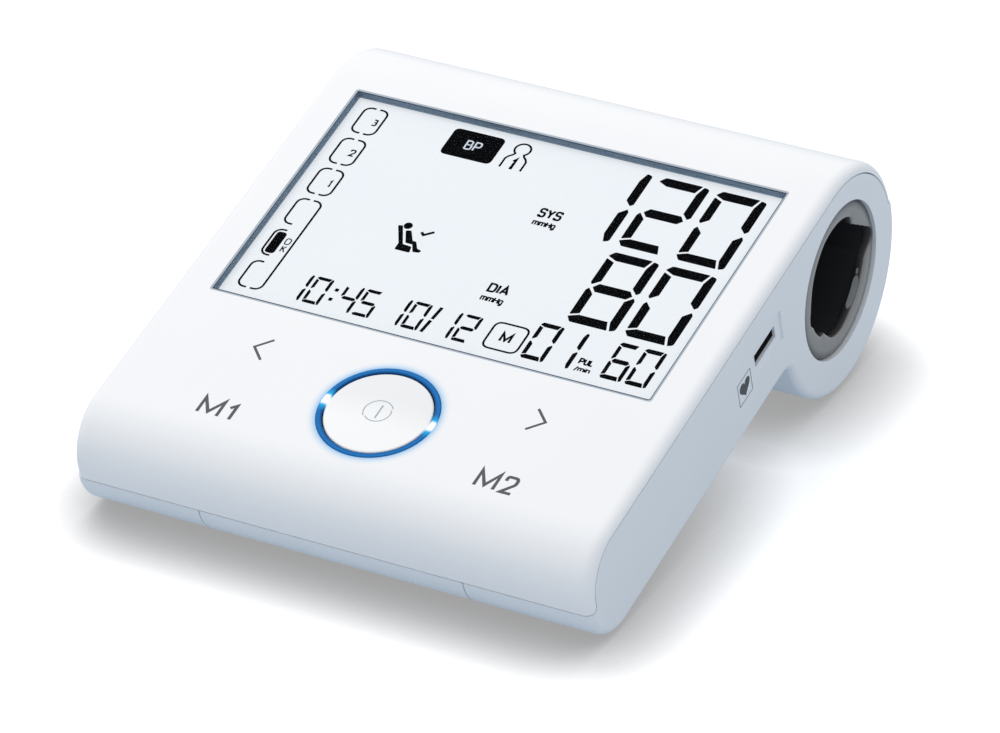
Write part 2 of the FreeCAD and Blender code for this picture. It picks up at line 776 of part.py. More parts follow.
def make_lower_housing(v, outer, profile):
    """Bottom shell: both sides, the underside, the roll's belly, the battery bay and bosses."""
    under_seam = profile.below_seam("housing_seam", v.seam_gap)
    half_shell = common("housing_half", outer, under_seam)
    cavity = profile.solid("housing_cavity", v.shell_t, v.inner_half_w * 2)
    inner = span(size(0), v.inner_half_w * 2)
    open_front = block("open_front", inner, (-v.front_reach - PAST, v.roll_y),
                       (-v.seam_drop - v.seam_gap, size(PAST)))
    rear_edge = v.roll_r * sine(v.seam_end_angle) - v.roll_r
    open_rear = block("open_rear", inner, (v.roll_y - PAST, v.roll_y + v.roll_r + PAST),
                      (rear_edge, size(PAST)))
    door_half = v.door_w / 2 + v.slide_gap
    door_hole = block("door_hole", (-door_half, door_half),
                      (-v.front_reach - PAST, -v.door_rear),
                      (-v.slab_t - PAST, -v.seam_drop + v.seam_gap))
    shell = cut("housing_shell", half_shell, cavity, open_front, open_rear, door_hole)

    # liner behind the door, joined to the shell outside the tongue grooves
    clear = v.shell_t + v.slide_gap
    face = profile.solid("liner_face", clear, v.inner_half_w * 2)
    core = profile.solid("liner_core", clear + v.liner_t, v.inner_half_w * 2 + PAST * 2)
    root_face = profile.solid("liner_root", v.shell_t / 2, v.inner_half_w * 2)
    groove_half = door_half + v.tongue_w
    rim_half = groove_half + v.liner_rim_w
    liner_z = (-v.slab_t - PAST, -v.seam_drop - v.seam_gap)
    liner_rear = v.liner_back_l - v.door_rear
    panel = common("liner_panel", face,
                   block("liner_zone", (-rim_half, rim_half),
                         (-v.front_reach, liner_rear), liner_z))
    liner = cut("door_liner", panel, core)

    def rim_bar(name, sign):
        sides = (groove_half, rim_half) if sign > 0 else (-rim_half, -groove_half)
        return block(name, sides, (-v.front_reach, liner_rear), liner_z)

    rear_bar = block("rim_rear", (-rim_half, rim_half),
                     (-v.door_rear + v.slide_gap, liner_rear), liner_z)
    rim_zone = fuse("rim_zone", *mirrored_x("rim", rim_bar), rear_bar)
    rim = cut("liner_rim", common("rim_block", root_face, rim_zone), core)

    bay_half = v.bay_w / 2
    wall = v.bay_wall
    bay_block = common("bay_block", face,
                       block("bay_zone", (-bay_half - wall, bay_half + wall),
                             (-v.bay_front - wall, wall - v.bay_rear),
                             (-v.slab_t - PAST, v.bay_top + wall)))
    extras = [shell, liner, rim, bay_block]

    # screw bosses, board side ribs, tube cup and pump post stand on the inside of the shell
    keep = profile.solid("housing_keep", v.shell_t / 2, v.inner_half_w * 2 + v.shell_t)
    stems = []
    for name, x, y, seat in screw_places(v):
        height = post_end(v, seat) - v.seat_gap
        stems.append(rod(f"boss_{name}", v.boss_r, "z", (x, y, -v.roll_r * 2),
                         height + v.roll_r * 2))
    cup_r = v.store_r + v.store_t
    cup_x = -v.inner_half_w
    store = (v.store_y, -v.store_drop)
    stems.append(rod("tube_cup", cup_r + v.liner_t, "x", (cup_x - PAST, *store),
                     v.store_end_gap + v.rib_depth + PAST))
    stems.append(block("manifold_post",
                       span(v.manifold_w / 2 - v.manifold_x, v.manifold_post_w),
                       span(v.air_y, v.manifold_post_w),
                       (-v.slab_t, -v.manifold_drop - v.manifold_h - v.seat_gap)))
    held = common("housing_stems", fuse("housing_stems_all", *stems), keep)
    solid = fuse("housing_solid", *extras, held)

    tools = [block("bay_cut", (-bay_half, bay_half), (-v.bay_front, -v.bay_rear),
                   (-v.slab_t - PAST, v.bay_top))]

    def groove(name, sign):
        sides = (door_half, groove_half) if sign > 0 else (-groove_half, -door_half)
        return block(name, sides, (-v.front_reach - PAST, -v.door_rear),
                     (v.lip_t - v.slab_t, v.shell_t + v.slide_gap / 2 - v.slab_t))

    tools += mirrored_x("tongue_groove", groove)
    for name, x, y, seat in screw_places(v):
        tools.append(rod(f"screw_hole_{name}", v.screw_r + v.seat_gap * 2, "z",
                         (x, y, seat - PAST), v.post_r * 2 + PAST * 2))
        tools.append(rod(f"screw_sink_{name}", v.screw_head_r + v.slide_gap, "z",
                         (x, y, seat - v.roll_r), v.roll_r))
    tools.append(rod("tube_cup_cut", cup_r + v.seat_gap, "x", (cup_x, *store),
                     v.store_end_gap + v.rib_depth + PAST))
    tools.append(rod("mouth_cut", v.mouth_r + v.seat_gap, "x",
                     (v.inner_half_w - PAST, *store), v.shell_t + PAST * 2))
    recess_x = v.half_w - v.socket_recess_d
    tools.append(block("socket_recess", (recess_x, v.half_w + PAST),
                       span(v.socket_y, v.socket_recess_l),
                       span(-v.socket_drop, v.socket_recess_h)))
    tools.append(block("socket_slot", (v.inner_half_w - PAST, v.half_w + PAST),
                       span(v.socket_y, v.socket_slot_l),
                       span(-v.socket_drop, v.socket_slot_h)))
    tools.append(rod("air_hole", v.air_socket_r + v.seat_gap, "x",
                     (-v.half_w - PAST, v.air_y, -v.air_drop), v.shell_t + PAST * 2))
    tools.append(rod("jack_hole", v.jack_r + v.seat_gap, "x",
                     (-v.half_w - PAST, -v.jack_y, -v.jack_drop), v.shell_t + PAST * 2))
    tools += [foot_block(f"foot_recess_{number}", v, place, v.seat_gap)
              for number, place in enumerate(foot_places(v))]
    return cut("lower_housing", solid, *tools)


def make_battery_door(v, profile):
    """Door on the underside that wraps up the front edge, with side tongues and grip lines."""
    face = profile.solid("door_face", size(0), v.door_w)
    back = profile.solid("door_back", v.shell_t, v.door_w + PAST * 2)
    zone = block("door_zone", span(size(0), v.door_w + FAR_PAST),
                 (-v.front_reach - PAST, -v.door_rear - v.slide_gap),
                 (-v.slab_t - PAST, -v.seam_drop - v.seam_gap))
    panel = cut("door_panel", common("door_strip", face, zone), back)

    def tongue(name, sign):
        inner_x = sign * (v.door_w / 2 - PAST)
        outer_x = sign * (v.door_w / 2 + v.tongue_w)
        sides = (inner_x, outer_x) if sign > 0 else (outer_x, inner_x)
        low = v.lip_t + v.slide_gap - v.slab_t
        return block(name, sides, (-v.tongue_front, -v.door_rear - v.slide_gap * 2),
                     (low, low + v.tongue_t))

    tongues = mirrored_x("door_tongue", tongue)
    grips = []
    for number in range(3):
        y = -v.door_rear - v.grip_margin - v.grip_pitch * number
        grips.append(block(f"door_grip_{number}", span(size(0), v.grip_l),
                           span(y, v.grip_w), (-v.slab_t - PAST, v.grip_depth - v.slab_t)))
    return cut("battery_door", fuse("door_solid", panel, *tongues), *grips)


def make_display_frame(v):
    """Slate window frame: a thin rim in the window, a ledge for the lens and a tray skirt."""
    half_w = v.window_w / 2 - v.seat_gap / 2
    half_l = v.window_l / 2 - v.seat_gap / 2
    rim = block("frame_rim", (-half_w, half_w), (-half_l, half_l),
                (-v.lcd_drop, -v.lens_drop / 2))
    rim = fillet_part("frame_rim_round", rim, v.window_corner_r, upright)
    wide = half_w + v.frame_flange
    deep = half_l + v.frame_flange
    tray = block("frame_tray", (-wide, wide), (-deep, deep),
                 (-v.lcd_drop - v.lcd_t, -v.cover_t - v.seat_gap / 2))
    lens_w, lens_l = half_w - v.rim_t, half_l - v.rim_t
    seat_z = -v.lens_drop - v.lens_t - v.seat_gap / 2
    lens_bay = block("frame_lens_bay", (-lens_w, lens_w), (-lens_l, lens_l),
                     (seat_z, size(PAST)))
    view_w, view_l = lens_w - v.lens_ledge, lens_l - v.lens_ledge
    view = block("frame_view", (-view_w, view_w), (-view_l, view_l),
                 (-v.lcd_drop - PAST, size(PAST)))
    glass_w, glass_l = wide - v.rib_t, deep - v.rib_t
    bay = block("frame_glass_bay", (-glass_w, glass_w), (-glass_l, glass_l),
                (-v.lcd_drop - v.lcd_t - PAST, -v.lcd_drop))
    return cut("display_frame", fuse("frame_solid", rim, tray), lens_bay, view, bay)


def make_display_lens(v):
    """Clear acrylic window, flush with the cover, on the frame's ledge."""
    half_w = v.window_w / 2 - v.rim_t - v.seat_gap
    half_l = v.window_l / 2 - v.rim_t - v.seat_gap
    pane = block("lens_pane", (-half_w, half_w), (-half_l, half_l),
                 (-v.lens_drop - v.lens_t, -v.lens_drop))
    return fillet_part("display_lens", pane, v.window_corner_r / 2, upright)


def glass_half(v):
    """Half width and half length of the glass in the frame's tray."""
    edge = v.frame_flange - v.rib_t - v.seat_gap * 1.5
    return v.window_w / 2 + edge, v.window_l / 2 + edge


def make_lcd_glass(v):
    """Liquid crystal cell: a front plate and a shorter rear plate that bares the contacts."""
    half_w, half_l = glass_half(v)
    top = -v.lcd_drop - v.seat_gap / 2
    middle = top - v.lcd_t / 2
    front = block("lcd_front", (-half_w, half_w), (-half_l, half_l), (middle, top))
    short = half_l - v.zebra_w
    rear = block("lcd_rear", (-half_w, half_w), (-short, short),
                 (-v.lcd_drop - v.lcd_t + v.seat_gap / 2, middle))
    return fuse("lcd_glass", front, rear)


def make_backlight(v):
    """Light guide plate behind the glass, thinned over the lamps at its left end."""
    half_w, half_l = glass_half(v)
    short = half_l - v.zebra_w - v.seat_gap
    top = -v.lcd_drop - v.lcd_t
    plate = block("backlight_plate", (-half_w, half_w), (-short, short),
                  (top - v.backlight_t, top))
    notch = block("backlight_notch", (-half_w - PAST, v.led_w - half_w),
                  span(size(0), short), (top - v.backlight_t - PAST, top - v.backlight_t / 2))
    return cut("backlight", plate, notch)


def make_zebra_strips(v):
    """Two rubber contact strips between the glass and the board."""
    _, half_l = glass_half(v)
    top = -v.lcd_drop - v.lcd_t / 2 - v.seat_gap
    strips = []
    for name, sign in (("far", 1), ("near", -1)):
        outer_y = sign * (half_l - v.seat_gap)
        inner_y = sign * (half_l - v.zebra_w + v.seat_gap)
        sides = (inner_y, outer_y) if sign > 0 else (outer_y, inner_y)
        strips.append(block(f"zebra_{name}", span(size(0), v.zebra_l), sides,
                            (-v.board_drop, top)))
    return fuse("zebra_strips", *strips)


def make_main_board(v):
    """Control board under display and keys, with its chips on the underside."""
    half = v.board_w / 2
    plate = block("board_plate", (-half, half), (-v.board_front, v.board_rear),
                  (v.board_under, -v.board_drop))
    chips = []
    for number in range(2):
        row = v.air_y + v.chip_pitch * (number - 0.5)
        chips.append(block(f"board_chip_{number}",
                           span(v.chip_x, v.chip_w), span(row, v.chip_w),
                           (v.board_under - v.chip_t, v.board_under + v.seat_gap)))
    holes = [rod(f"board_hole_{number}", v.board_screw_r + v.slide_gap, "z",
                 (x, y, v.board_under - PAST), v.board_t + PAST * 2)
             for number, (x, y) in enumerate(board_boss_places(v))]
    return cut("main_board", fuse("board_solid", plate, *chips), *holes)


def make_board_screws(v):
    """Six pan-head screws from below through the board into the cover's bosses."""
    screws = []
    for number, (x, y) in enumerate(board_boss_places(v)):
        head_z = v.board_under - v.board_screw_head_t
        head = rod(f"board_screw_head_{number}", v.board_screw_head_r, "z",
                   (x, y, head_z), v.board_screw_head_t)
        shank = rod(f"board_screw_shank_{number}", v.board_screw_r, "z",
                    (x, y, head_z + v.board_screw_head_t / 2),
                    v.board_screw_head_t / 2 + v.board_t + v.board_screw_grip)
        screws.append(fuse(f"board_screw_{number}", head, shank))
    return fuse("board_screws", *screws)


def make_touch_springs(v):
    """Four conical touch contacts from the board to the cover's inside."""
    springs = []
    for number, (x, y) in enumerate(touch_places(v)):
        height = v.board_drop - v.cover_t - v.seat_gap
        outside = taper(f"touch_cone_{number}", v.touch_base_r, v.touch_r, "z",
                        (x, y, -v.board_drop), height)
        inside = taper(f"touch_hollow_{number}", v.touch_base_r - v.touch_sheet_t,
                       v.touch_r - v.touch_sheet_t, "z",
                       (x, y, -v.board_drop - v.seat_gap), height)
        springs.append(cut(f"touch_spring_{number}", outside, inside))
    return fuse("touch_springs", *springs)


def make_start_key(v):
    """Round start key: crowned cap, skirt with a retaining flange, and a centre stem."""
    pin_top = v.switch_t + v.switch_pin_t - v.board_drop
    stem_end = pin_top + v.key_travel + v.slide_gap
    flange_z = -v.key_skirt - v.key_flange_t
    # the crown is an arc over the key's width, and a small arc rounds its edge
    crown_r = (v.key_r * v.key_r + v.key_crown * v.key_crown) / (v.key_crown * 2)
    flat_r = v.key_r - v.key_edge_r
    edge_z = v.key_crown - crown_r + root(crown_r * crown_r - flat_r * flat_r)
    corners = [
        (size(0), v.key_crown, -crown_r, (size(0), v.key_crown - crown_r)),
        (flat_r, edge_z, -v.key_edge_r, (flat_r, edge_z - v.key_edge_r)),
        (v.key_r, edge_z - v.key_edge_r),
        (v.key_r, -v.key_skirt),
        (v.key_flange_r, -v.key_skirt),
        (v.key_flange_r, flange_z),
        (v.key_r - v.key_wall, flange_z),
        (v.key_r - v.key_wall, -v.key_wall),
        (v.key_stem_r, -v.key_wall),
        (v.key_stem_r, stem_end),
        (size(0), stem_end),
    ]
    return turned("start_key", corners)


def make_light_ring(v):
    """Clear light guide around the start key: ring, flange under the cover and a leg."""
    flange_z = -v.cover_t - v.seat_gap / 2
    corners = [
        (v.ring_inner_r, v.ring_proud - v.ring_chamfer),
        (v.ring_inner_r + v.ring_chamfer, v.ring_proud),
        (v.ring_r - v.ring_chamfer, v.ring_proud),
        (v.ring_r, v.ring_proud - v.ring_chamfer),
        (v.ring_r, flange_z),
        (v.ring_flange_r, flange_z),
        (v.ring_flange_r, -v.ring_depth),
        (v.ring_leg_r, -v.ring_depth),
        (v.ring_leg_r, -v.ring_leg_depth),
        (v.ring_r, -v.ring_leg_depth),
        (v.ring_r, -v.ring_depth),
        (v.ring_inner_r, -v.ring_depth),
    ]
    return turned("light_ring", corners)


def make_start_switch(v):
    """Tact switch on the board under the start key."""
    case = block("switch_case", span(size(0), v.switch_w), span(-v.key_y, v.switch_w),
                 (-v.board_drop, v.switch_t - v.board_drop))
    pin = rod("switch_pin", v.switch_pin_r, "z", (size(0), -v.key_y, -v.board_drop),
              v.switch_t + v.switch_pin_t)
    return fuse("start_switch", case, pin)


def make_ring_leds(v):
    """Lamps on the board under the light ring."""
    middle = (v.ring_r + v.ring_leg_r) / 2
    top = v.led_t - v.board_drop
    lamps = []
    for number, (across, along) in enumerate(((1, 0), (0, 1), (-1, 0), (0, -1))):
        lamps.append(block(f"led_{number}", span(middle * across, v.led_w),
                           span(middle * along - v.key_y, v.led_w),
                           (-v.board_drop, top)))
    return fuse("ring_leds", *lamps)


def make_stick_tube(v):
    """Dark storage tube through the roll: closed on the left, with a lobe on its rear side."""
    left = v.store_end_gap - v.inner_half_w
    right = v.half_w - v.mouth_set_back - v.mouth_t - v.seat_gap
    store = (v.store_y, -v.store_drop)
    lobe = (v.store_y + v.lobe_y, -v.store_drop)
    length = right - left
    body = rod("tube_outside", v.store_r + v.store_t, "x", (left, *store), length)
    lobe_left = left + v.rib_depth + v.slide_gap
    ridge = rod("tube_ridge", v.lobe_r + v.store_t, "x", (lobe_left, *lobe),
                right - lobe_left)
    bore = rod("tube_bore", v.store_r, "x", (left + v.store_end_t, *store), length)
    channel = rod("tube_channel", v.lobe_r, "x", (lobe_left + v.store_end_t, *lobe), length)
    return cut("stick_tube", fuse("tube_solid", body, ridge), bore, channel)


def make_tube_mouth(v):
    """Smoked dished ring around the tube's open end, with a flange behind the side wall."""
    face = v.half_w - v.mouth_set_back
    store = (v.store_y, -v.store_drop)
    lobe = (v.store_y + v.lobe_y, -v.store_drop)
    ring = rod("mouth_ring", v.mouth_r, "x", (face - v.mouth_t, *store), v.mouth_t)
    flange_x = v.inner_half_w - v.seat_gap / 2 - v.mouth_flange_t
    flange = rod("mouth_flange", v.mouth_flange_r, "x", (flange_x, *store),
                 v.mouth_flange_t)
    dish = taper("mouth_dish", v.store_r, v.mouth_r - v.mouth_rim, "x",
                 (face - v.mouth_dish, *store), v.mouth_dish)
    bore = rod("mouth_bore", v.store_r, "x", (face - v.mouth_t - PAST, *store),
               v.mouth_t + PAST * 2)
    channel = rod("mouth_channel", v.lobe_r, "x", (face - v.mouth_t - PAST, *lobe),
                  v.mouth_t + PAST * 2)
    return cut("tube_mouth", fuse("mouth_solid", ring, flange), dish, bore, channel)


def make_side_socket(v):
    """Connector behind the slot in the right side, with a contact tongue."""
    right = v.inner_half_w - v.seat_gap / 2
    left = right - v.socket_body_d
    long_half = v.socket_slot_l + v.socket_wall * 2
    high_half = v.socket_slot_h + v.socket_wall * 2
    case = block("socket_case", (left, right), span(v.socket_y, long_half),
                 span(-v.socket_drop, high_half))
    hollow = block("socket_hollow", (left + v.socket_wall, right + PAST),
                   span(v.socket_y, v.socket_slot_l), span(-v.socket_drop, v.socket_slot_h))
    tongue = block("socket_tongue", (left + v.socket_wall / 2, right - v.socket_wall),
                   span(v.socket_y, v.socket_slot_l - v.socket_wall * 2),
                   span(-v.socket_drop + v.socket_tongue_t, v.socket_tongue_t))
    bracket = block("socket_bracket",
                    (v.board_w / 2 - v.socket_wall * 2, left + v.socket_wall),
                    span(v.socket_y, v.socket_slot_l),
                    (v.board_under - v.seat_gap / 2 - v.socket_wall,
                     v.board_under - v.seat_gap / 2))
    upstand = block("socket_upstand", (left, left + v.socket_wall),
                    span(v.socket_y, v.socket_slot_l),
                    (-v.socket_drop, v.board_under - v.seat_gap / 2))
    return fuse("side_socket", cut("socket_shell", case, hollow), tongue, bracket, upstand)


def make_air_socket(v):
    """Cuff connector in the left side: collar, plug bore and a hose nipple inside."""
    line = (v.air_y, -v.air_drop)
    body = rod("air_body", v.air_socket_r, "x", (-v.half_w, *line), v.air_socket_l)
    flange = rod("air_flange", v.air_flange_r, "x",
                 (v.seat_gap / 2 - v.inner_half_w, *line), v.air_flange_t)
    nipple = rod("air_nipple", v.nipple_r, "x", (-v.air_x - PAST, *line), v.nipple_l + PAST)
    bore = rod("air_bore", v.air_bore_r, "x", (-v.half_w - PAST, *line),
               v.air_bore_depth + PAST)
    passage = rod("air_passage", v.nipple_r / 2, "x", (-v.half_w, *line),
                  v.air_socket_l + v.nipple_l + PAST)
    return cut("air_socket", fuse("air_solid", body, flange, nipple), bore, passage)


def make_power_jack(v):
    """Round low-voltage socket in the left side with a centre pin."""
    line = (-v.jack_y, -v.jack_drop)
    nose = rod("jack_nose", v.jack_r, "x", (-v.half_w + v.seat_gap, *line), v.shell_t + PAST)
    left = v.seat_gap / 2 - v.inner_half_w
    case = block("jack_case", (left, left + v.jack_l), span(-v.jack_y, v.jack_w),
                 (-v.jack_drop - v.jack_w / 2, v.board_under - v.slide_gap))
    bore = rod("jack_bore", v.jack_bore_r, "x", (-v.half_w - PAST, *line),
               v.jack_bore_depth + PAST)
    pin = rod("jack_pin", v.jack_pin_r, "x", (-v.half_w + v.shell_t, *line),
              v.jack_bore_depth)
    return fuse("power_jack", cut("jack_body", fuse("jack_solid", nose, case), bore), pin)


def make_air_manifold(v):
    """Moulded block that joins cuff, pump, valve and sensor, with a nipple for each."""
    left = -v.manifold_x
    right = left + v.manifold_w
    top = -v.manifold_drop
    line = (v.air_y, -v.air_drop)
    case = block("manifold_block", (left, right), span(v.air_y, v.manifold_l),
                 (top - v.manifold_h, top))
    middle_x = left + v.manifold_w / 2
    side = v.manifold_l / 2
    nipples = [
        rod("manifold_cuff", v.nipple_r, "x", (left - v.nipple_l, *line), v.nipple_l + PAST),
        rod("manifold_pump", v.nipple_r, "x", (right - PAST, *line), nipple_short(v) + PAST),
        rod("manifold_valve", v.nipple_r, "y",
            (middle_x, v.air_y + side - PAST, -v.air_drop), nipple_short(v) + PAST),
        rod("manifold_sensor", v.nipple_r, "y",
            (middle_x, v.air_y - side - nipple_short(v), -v.air_drop),
            nipple_short(v) + PAST),
    ]
    return fuse("air_manifold", case, *nipples)


def nipple_short(v):
    """Length of the nipples between neighbours that nearly touch."""
    return v.nipple_l / 2


def hose_room(v):
    """Distance between two neighbours that a short hose joins."""
    return nipple_short(v) * 2 + v.seat_gap * 4


def make_release_valve(v):
    """Solenoid release valve beside the manifold."""
    middle_x = -v.manifold_x + v.manifold_w / 2
    near = v.air_y + v.manifold_l / 2 + hose_room(v)
    case = block("valve_case", span(middle_x, v.valve_l), (near, near + v.valve_l),
                 span(-v.air_drop, v.valve_l))
    nipple = rod("valve_nipple", v.nipple_r, "y",
                 (middle_x, near - nipple_short(v), -v.air_drop), nipple_short(v) + PAST)
    saddle_top = v.board_under - v.seat_gap
    tab = block("valve_tab", span(middle_x, v.valve_l / 2),
                span(near + v.valve_l / 2, v.valve_l / 2), (-v.air_drop, saddle_top))
    return fuse("release_valve", case, nipple, tab)


def make_pressure_sensor(v):
    """Pressure sensor under the board with its port towards the manifold."""
    middle_x = -v.manifold_x + v.manifold_w / 2
    near = v.air_y - v.manifold_l / 2 - hose_room(v)
    case = block("sensor_case", span(middle_x, v.sensor_l), (near - v.sensor_l, near),
                 (-v.air_drop - v.sensor_h / 2, v.board_under - v.seat_gap))
    port = rod("sensor_port", v.nipple_r, "y", (middle_x, near - PAST, -v.air_drop),
               nipple_short(v) + PAST)
    return fuse("pressure_sensor", case, port)


def make_air_hoses(v):
    """Four short hoses over facing nipples: cuff, pump, valve and sensor."""
    middle_x = -v.manifold_x + v.manifold_w / 2
    side = v.manifold_l / 2
    gap = v.seat_gap
    short = hose_room(v) - gap * 2
    cuff_left = -v.air_x + gap
    runs = (
        ("cuff", "x", (cuff_left, v.air_y, -v.air_drop), v.air_x - v.manifold_x - gap * 2),
        ("pump", "x", (-v.manifold_x + v.manifold_w + gap, v.air_y, -v.air_drop), short),
        ("valve", "y", (middle_x, v.air_y + side + gap, -v.air_drop), short),
        ("sensor", "y", (middle_x, v.air_y - side - gap - short, -v.air_drop), short),
    )
    hoses = []
    for name, axis, start, length in runs:
        outside = rod(f"hose_{name}_outside", v.nipple_r + v.hose_t, axis, start, length)
        inside = rod(f"hose_{name}_inside", v.nipple_r + gap / 2, axis, start, length)
        hoses.append(cut(f"hose_{name}", outside, inside))
    return fuse("air_hoses", *hoses)


def head_left(v):
    """Left end of the pump head, a hose away from the manifold."""
    return -v.manifold_x + v.manifold_w + hose_room(v)


def make_pump_head(v):
    """Diaphragm pump head: a block with the cam chamber and the outlet nipple."""
    left = head_left(v)
    right = left + v.pump_head_l
    middle = -v.pump_drop
    case = block("head_case", (left, right - v.seat_gap), span(v.air_y, v.pump_head_w),
                 span(middle, v.pump_h))
    outlet = rod("head_outlet", v.nipple_r, "x",
                 (left - nipple_short(v), v.air_y, -v.air_drop), nipple_short(v) + PAST)
    chamber = rod("head_chamber", v.pump_cavity_r, "x",
                  (left + v.shell_t, v.air_y, middle), v.pump_head_l)
    return cut("pump_head", fuse("head_solid", case, outlet), chamber)


def make_pump_motor(v):
    """Motor can with two flats, end boss and a shaft bore right through."""
    left = head_left(v) + v.pump_head_l
    middle = -v.pump_drop
    can = rod("motor_can", v.pump_can_r, "x", (left, v.air_y, middle), v.pump_can_l)
    flats = block("motor_flats", (left, left + v.pump_can_l),
                  span(v.air_y, v.pump_can_r * 2 + PAST * 2), span(middle, v.pump_h))
    boss = rod("motor_boss", v.pump_end_r, "x",
               (left + v.pump_can_l - PAST, v.air_y, middle), v.pump_end_l + PAST)
    bore = rod("motor_bore", v.pump_shaft_r + v.pump_bearing_gap, "x",
               (left - PAST, v.air_y, middle), v.pump_can_l + v.pump_end_l + PAST * 2)
    return cut("pump_motor", fuse("motor_solid", common("motor_drum", can, flats), boss),
               bore)


def make_pump_rotor(v):
    """Motor shaft with the eccentric cam that works the diaphragms."""
    left = head_left(v) + v.shell_t
    middle = -v.pump_drop
    right = head_left(v) + v.pump_head_l + v.pump_can_l + v.pump_end_l + v.slide_gap
    cam_x = left + v.pump_cam_t
    shaft = rod("rotor_shaft", v.pump_shaft_r, "x", (cam_x, v.air_y, middle),
                right - cam_x)
    cam = rod("rotor_cam", v.pump_cam_r, "x",
              (cam_x, v.air_y, middle + v.pump_cam_throw), v.pump_cam_t)
    pin = rod("rotor_pin", v.pump_shaft_r, "x",
              (left + v.pump_end_play, v.air_y, middle + v.pump_cam_throw * 2),
              v.pump_cam_t)
    return fuse("pump_rotor", shaft, cam, pin)


def make_pump_cradle(v):
    """Rubber cradle that carries the motor on the housing floor."""
    left = head_left(v) + v.pump_head_l + v.pump_pad_t
    right = left + v.pump_can_l - v.pump_pad_t * 2
    under = -v.pump_drop - v.pump_h / 2 - v.seat_gap / 2
    wide = v.pump_can_r + v.pump_pad_t
    pad = block("cradle_pad", (left, right), span(v.air_y, wide * 2),
                (v.floor_z, -v.pump_drop))
    hollow = rod("cradle_hollow", v.pump_can_r + v.seat_gap, "x",
                 (left - PAST, v.air_y, -v.pump_drop), v.pump_can_l + PAST * 2)
    trough = common("cradle_trough", hollow,
                    block("cradle_limit", (left - PAST, right + PAST),
                          span(v.air_y, wide * 2), (under, v.seat_gap - v.pump_drop)))
    return cut("pump_cradle", pad, trough)


def make_battery_cells(v):
    """Four round cells side by side, alternating in direction."""
    cells = []
    middle_y = -(v.bay_front + v.bay_rear) / 2
    for number in range(CELL_COUNT):
        x = (number - (CELL_COUNT - 1) / 2) * v.cell_pitch
        start_y = middle_y - v.cell_l / 2
        can = rod(f"cell_can_{number}", v.cell_r, "y", (x, start_y, -v.cell_drop), v.cell_l)
        nub_y = start_y + v.cell_l - PAST if number % 2 else start_y - v.cell_nub_l
        nub = rod(f"cell_nub_{number}", v.cell_nub_r, "y", (x, nub_y, -v.cell_drop),
                  v.cell_nub_l + PAST)
        cells.append(fuse(f"cell_{number}", can, nub))
    return fuse("battery_cells", *cells)


def make_battery_contacts(v):
    """Contact plates at both ends of the bay, each bridging two cells or ending one."""
    plates = []
    gap = v.seat_gap
    ends = (("near", -v.bay_front + gap), ("far", -v.bay_rear - gap - v.contact_t))
    spans = {
        "near": ((-1, v.contact_bridge), (1, v.contact_bridge)),
        "far": ((-1.5, v.contact_single), (0, v.contact_bridge), (1.5, v.contact_single)),
    }
    for name, y in ends:
        for number, (place, wide) in enumerate(spans[name]):
            plates.append(block(f"contact_{name}_{number}",
                                span(place * v.cell_pitch, wide),
                                (y, y + v.contact_t),
                                span(-v.cell_drop, v.contact_h)))
    return fuse("battery_contacts", *plates)


def make_battery_springs(v):
    """Conical springs that press on the flat end of each cell."""
    springs = []
    middle_y = -(v.bay_front + v.bay_rear) / 2
    gap = v.seat_gap
    for number in range(CELL_COUNT):
        x = (number - (CELL_COUNT - 1) / 2) * v.cell_pitch
        room = (v.bay_front - v.bay_rear - v.cell_l) / 2 - v.contact_t - gap * 3
        if number % 2:
            start = middle_y - v.cell_l / 2 - gap - room
            ends = (v.spring_wide_r, v.spring_narrow_r)
        else:
            start = middle_y + v.cell_l / 2 + gap
            ends = (v.spring_narrow_r, v.spring_wide_r)
        springs.append(taper(f"spring_{number}", *ends, "y", (x, start, -v.cell_drop), room))
    return fuse("battery_springs", *springs)


def make_rubber_feet(v):
    """Four long soft pads in shallow recesses under the toe and the roll."""
    feet = []
    for number, place in enumerate(foot_places(v)):
        pad = foot_block(f"foot_{number}", v, place, size(0))

        def across_floor(edge):
            return abs(edge.Length - v.foot_t.value) < 1e-3

        feet.append(fillet_part(f"foot_round_{number}", pad, v.foot_corner_r, across_floor))
    return fuse("rubber_feet", *feet)


def make_housing_screws(v):
    """Four screws from below through the housing's bosses into the cover's posts."""
    screws = []
    for name, x, y, seat in screw_places(v):
        head = rod(f"screw_head_{name}", v.screw_head_r, "z",
                   (x, y, seat - v.screw_head_t), v.screw_head_t)
        shank = rod(f"screw_shank_{name}", v.screw_r, "z",
                    (x, y, seat - v.screw_head_t / 2), v.screw_l)
        screws.append(fuse(f"screw_{name}", head, shank))
    return fuse("housing_screws", *screws)


def finish(v, node, piece, along):
    """Names a finished piece after its node and stands it on the floor.

    The piece is first moved up the slope by a distance, then tilted and lifted.
    """
    piece.Label = node
    piece.Placement = FreeCAD.Placement(Vector(), FreeCAD.Rotation(Vector(1, 0, 0), 1))
    bind(piece, "Placement.Rotation.Angle", v.tilt)
    bind(piece, "Placement.Base.y", v.shift + along * cosine(v.tilt))
    bind(piece, "Placement.Base.z", v.lift + along * sine(v.tilt))


def failed_objects():
    """Names of objects of the document that did not build."""
    return [thing.Name for thing in doc.Objects
            if {"Invalid", "Error"} & set(thing.State)]


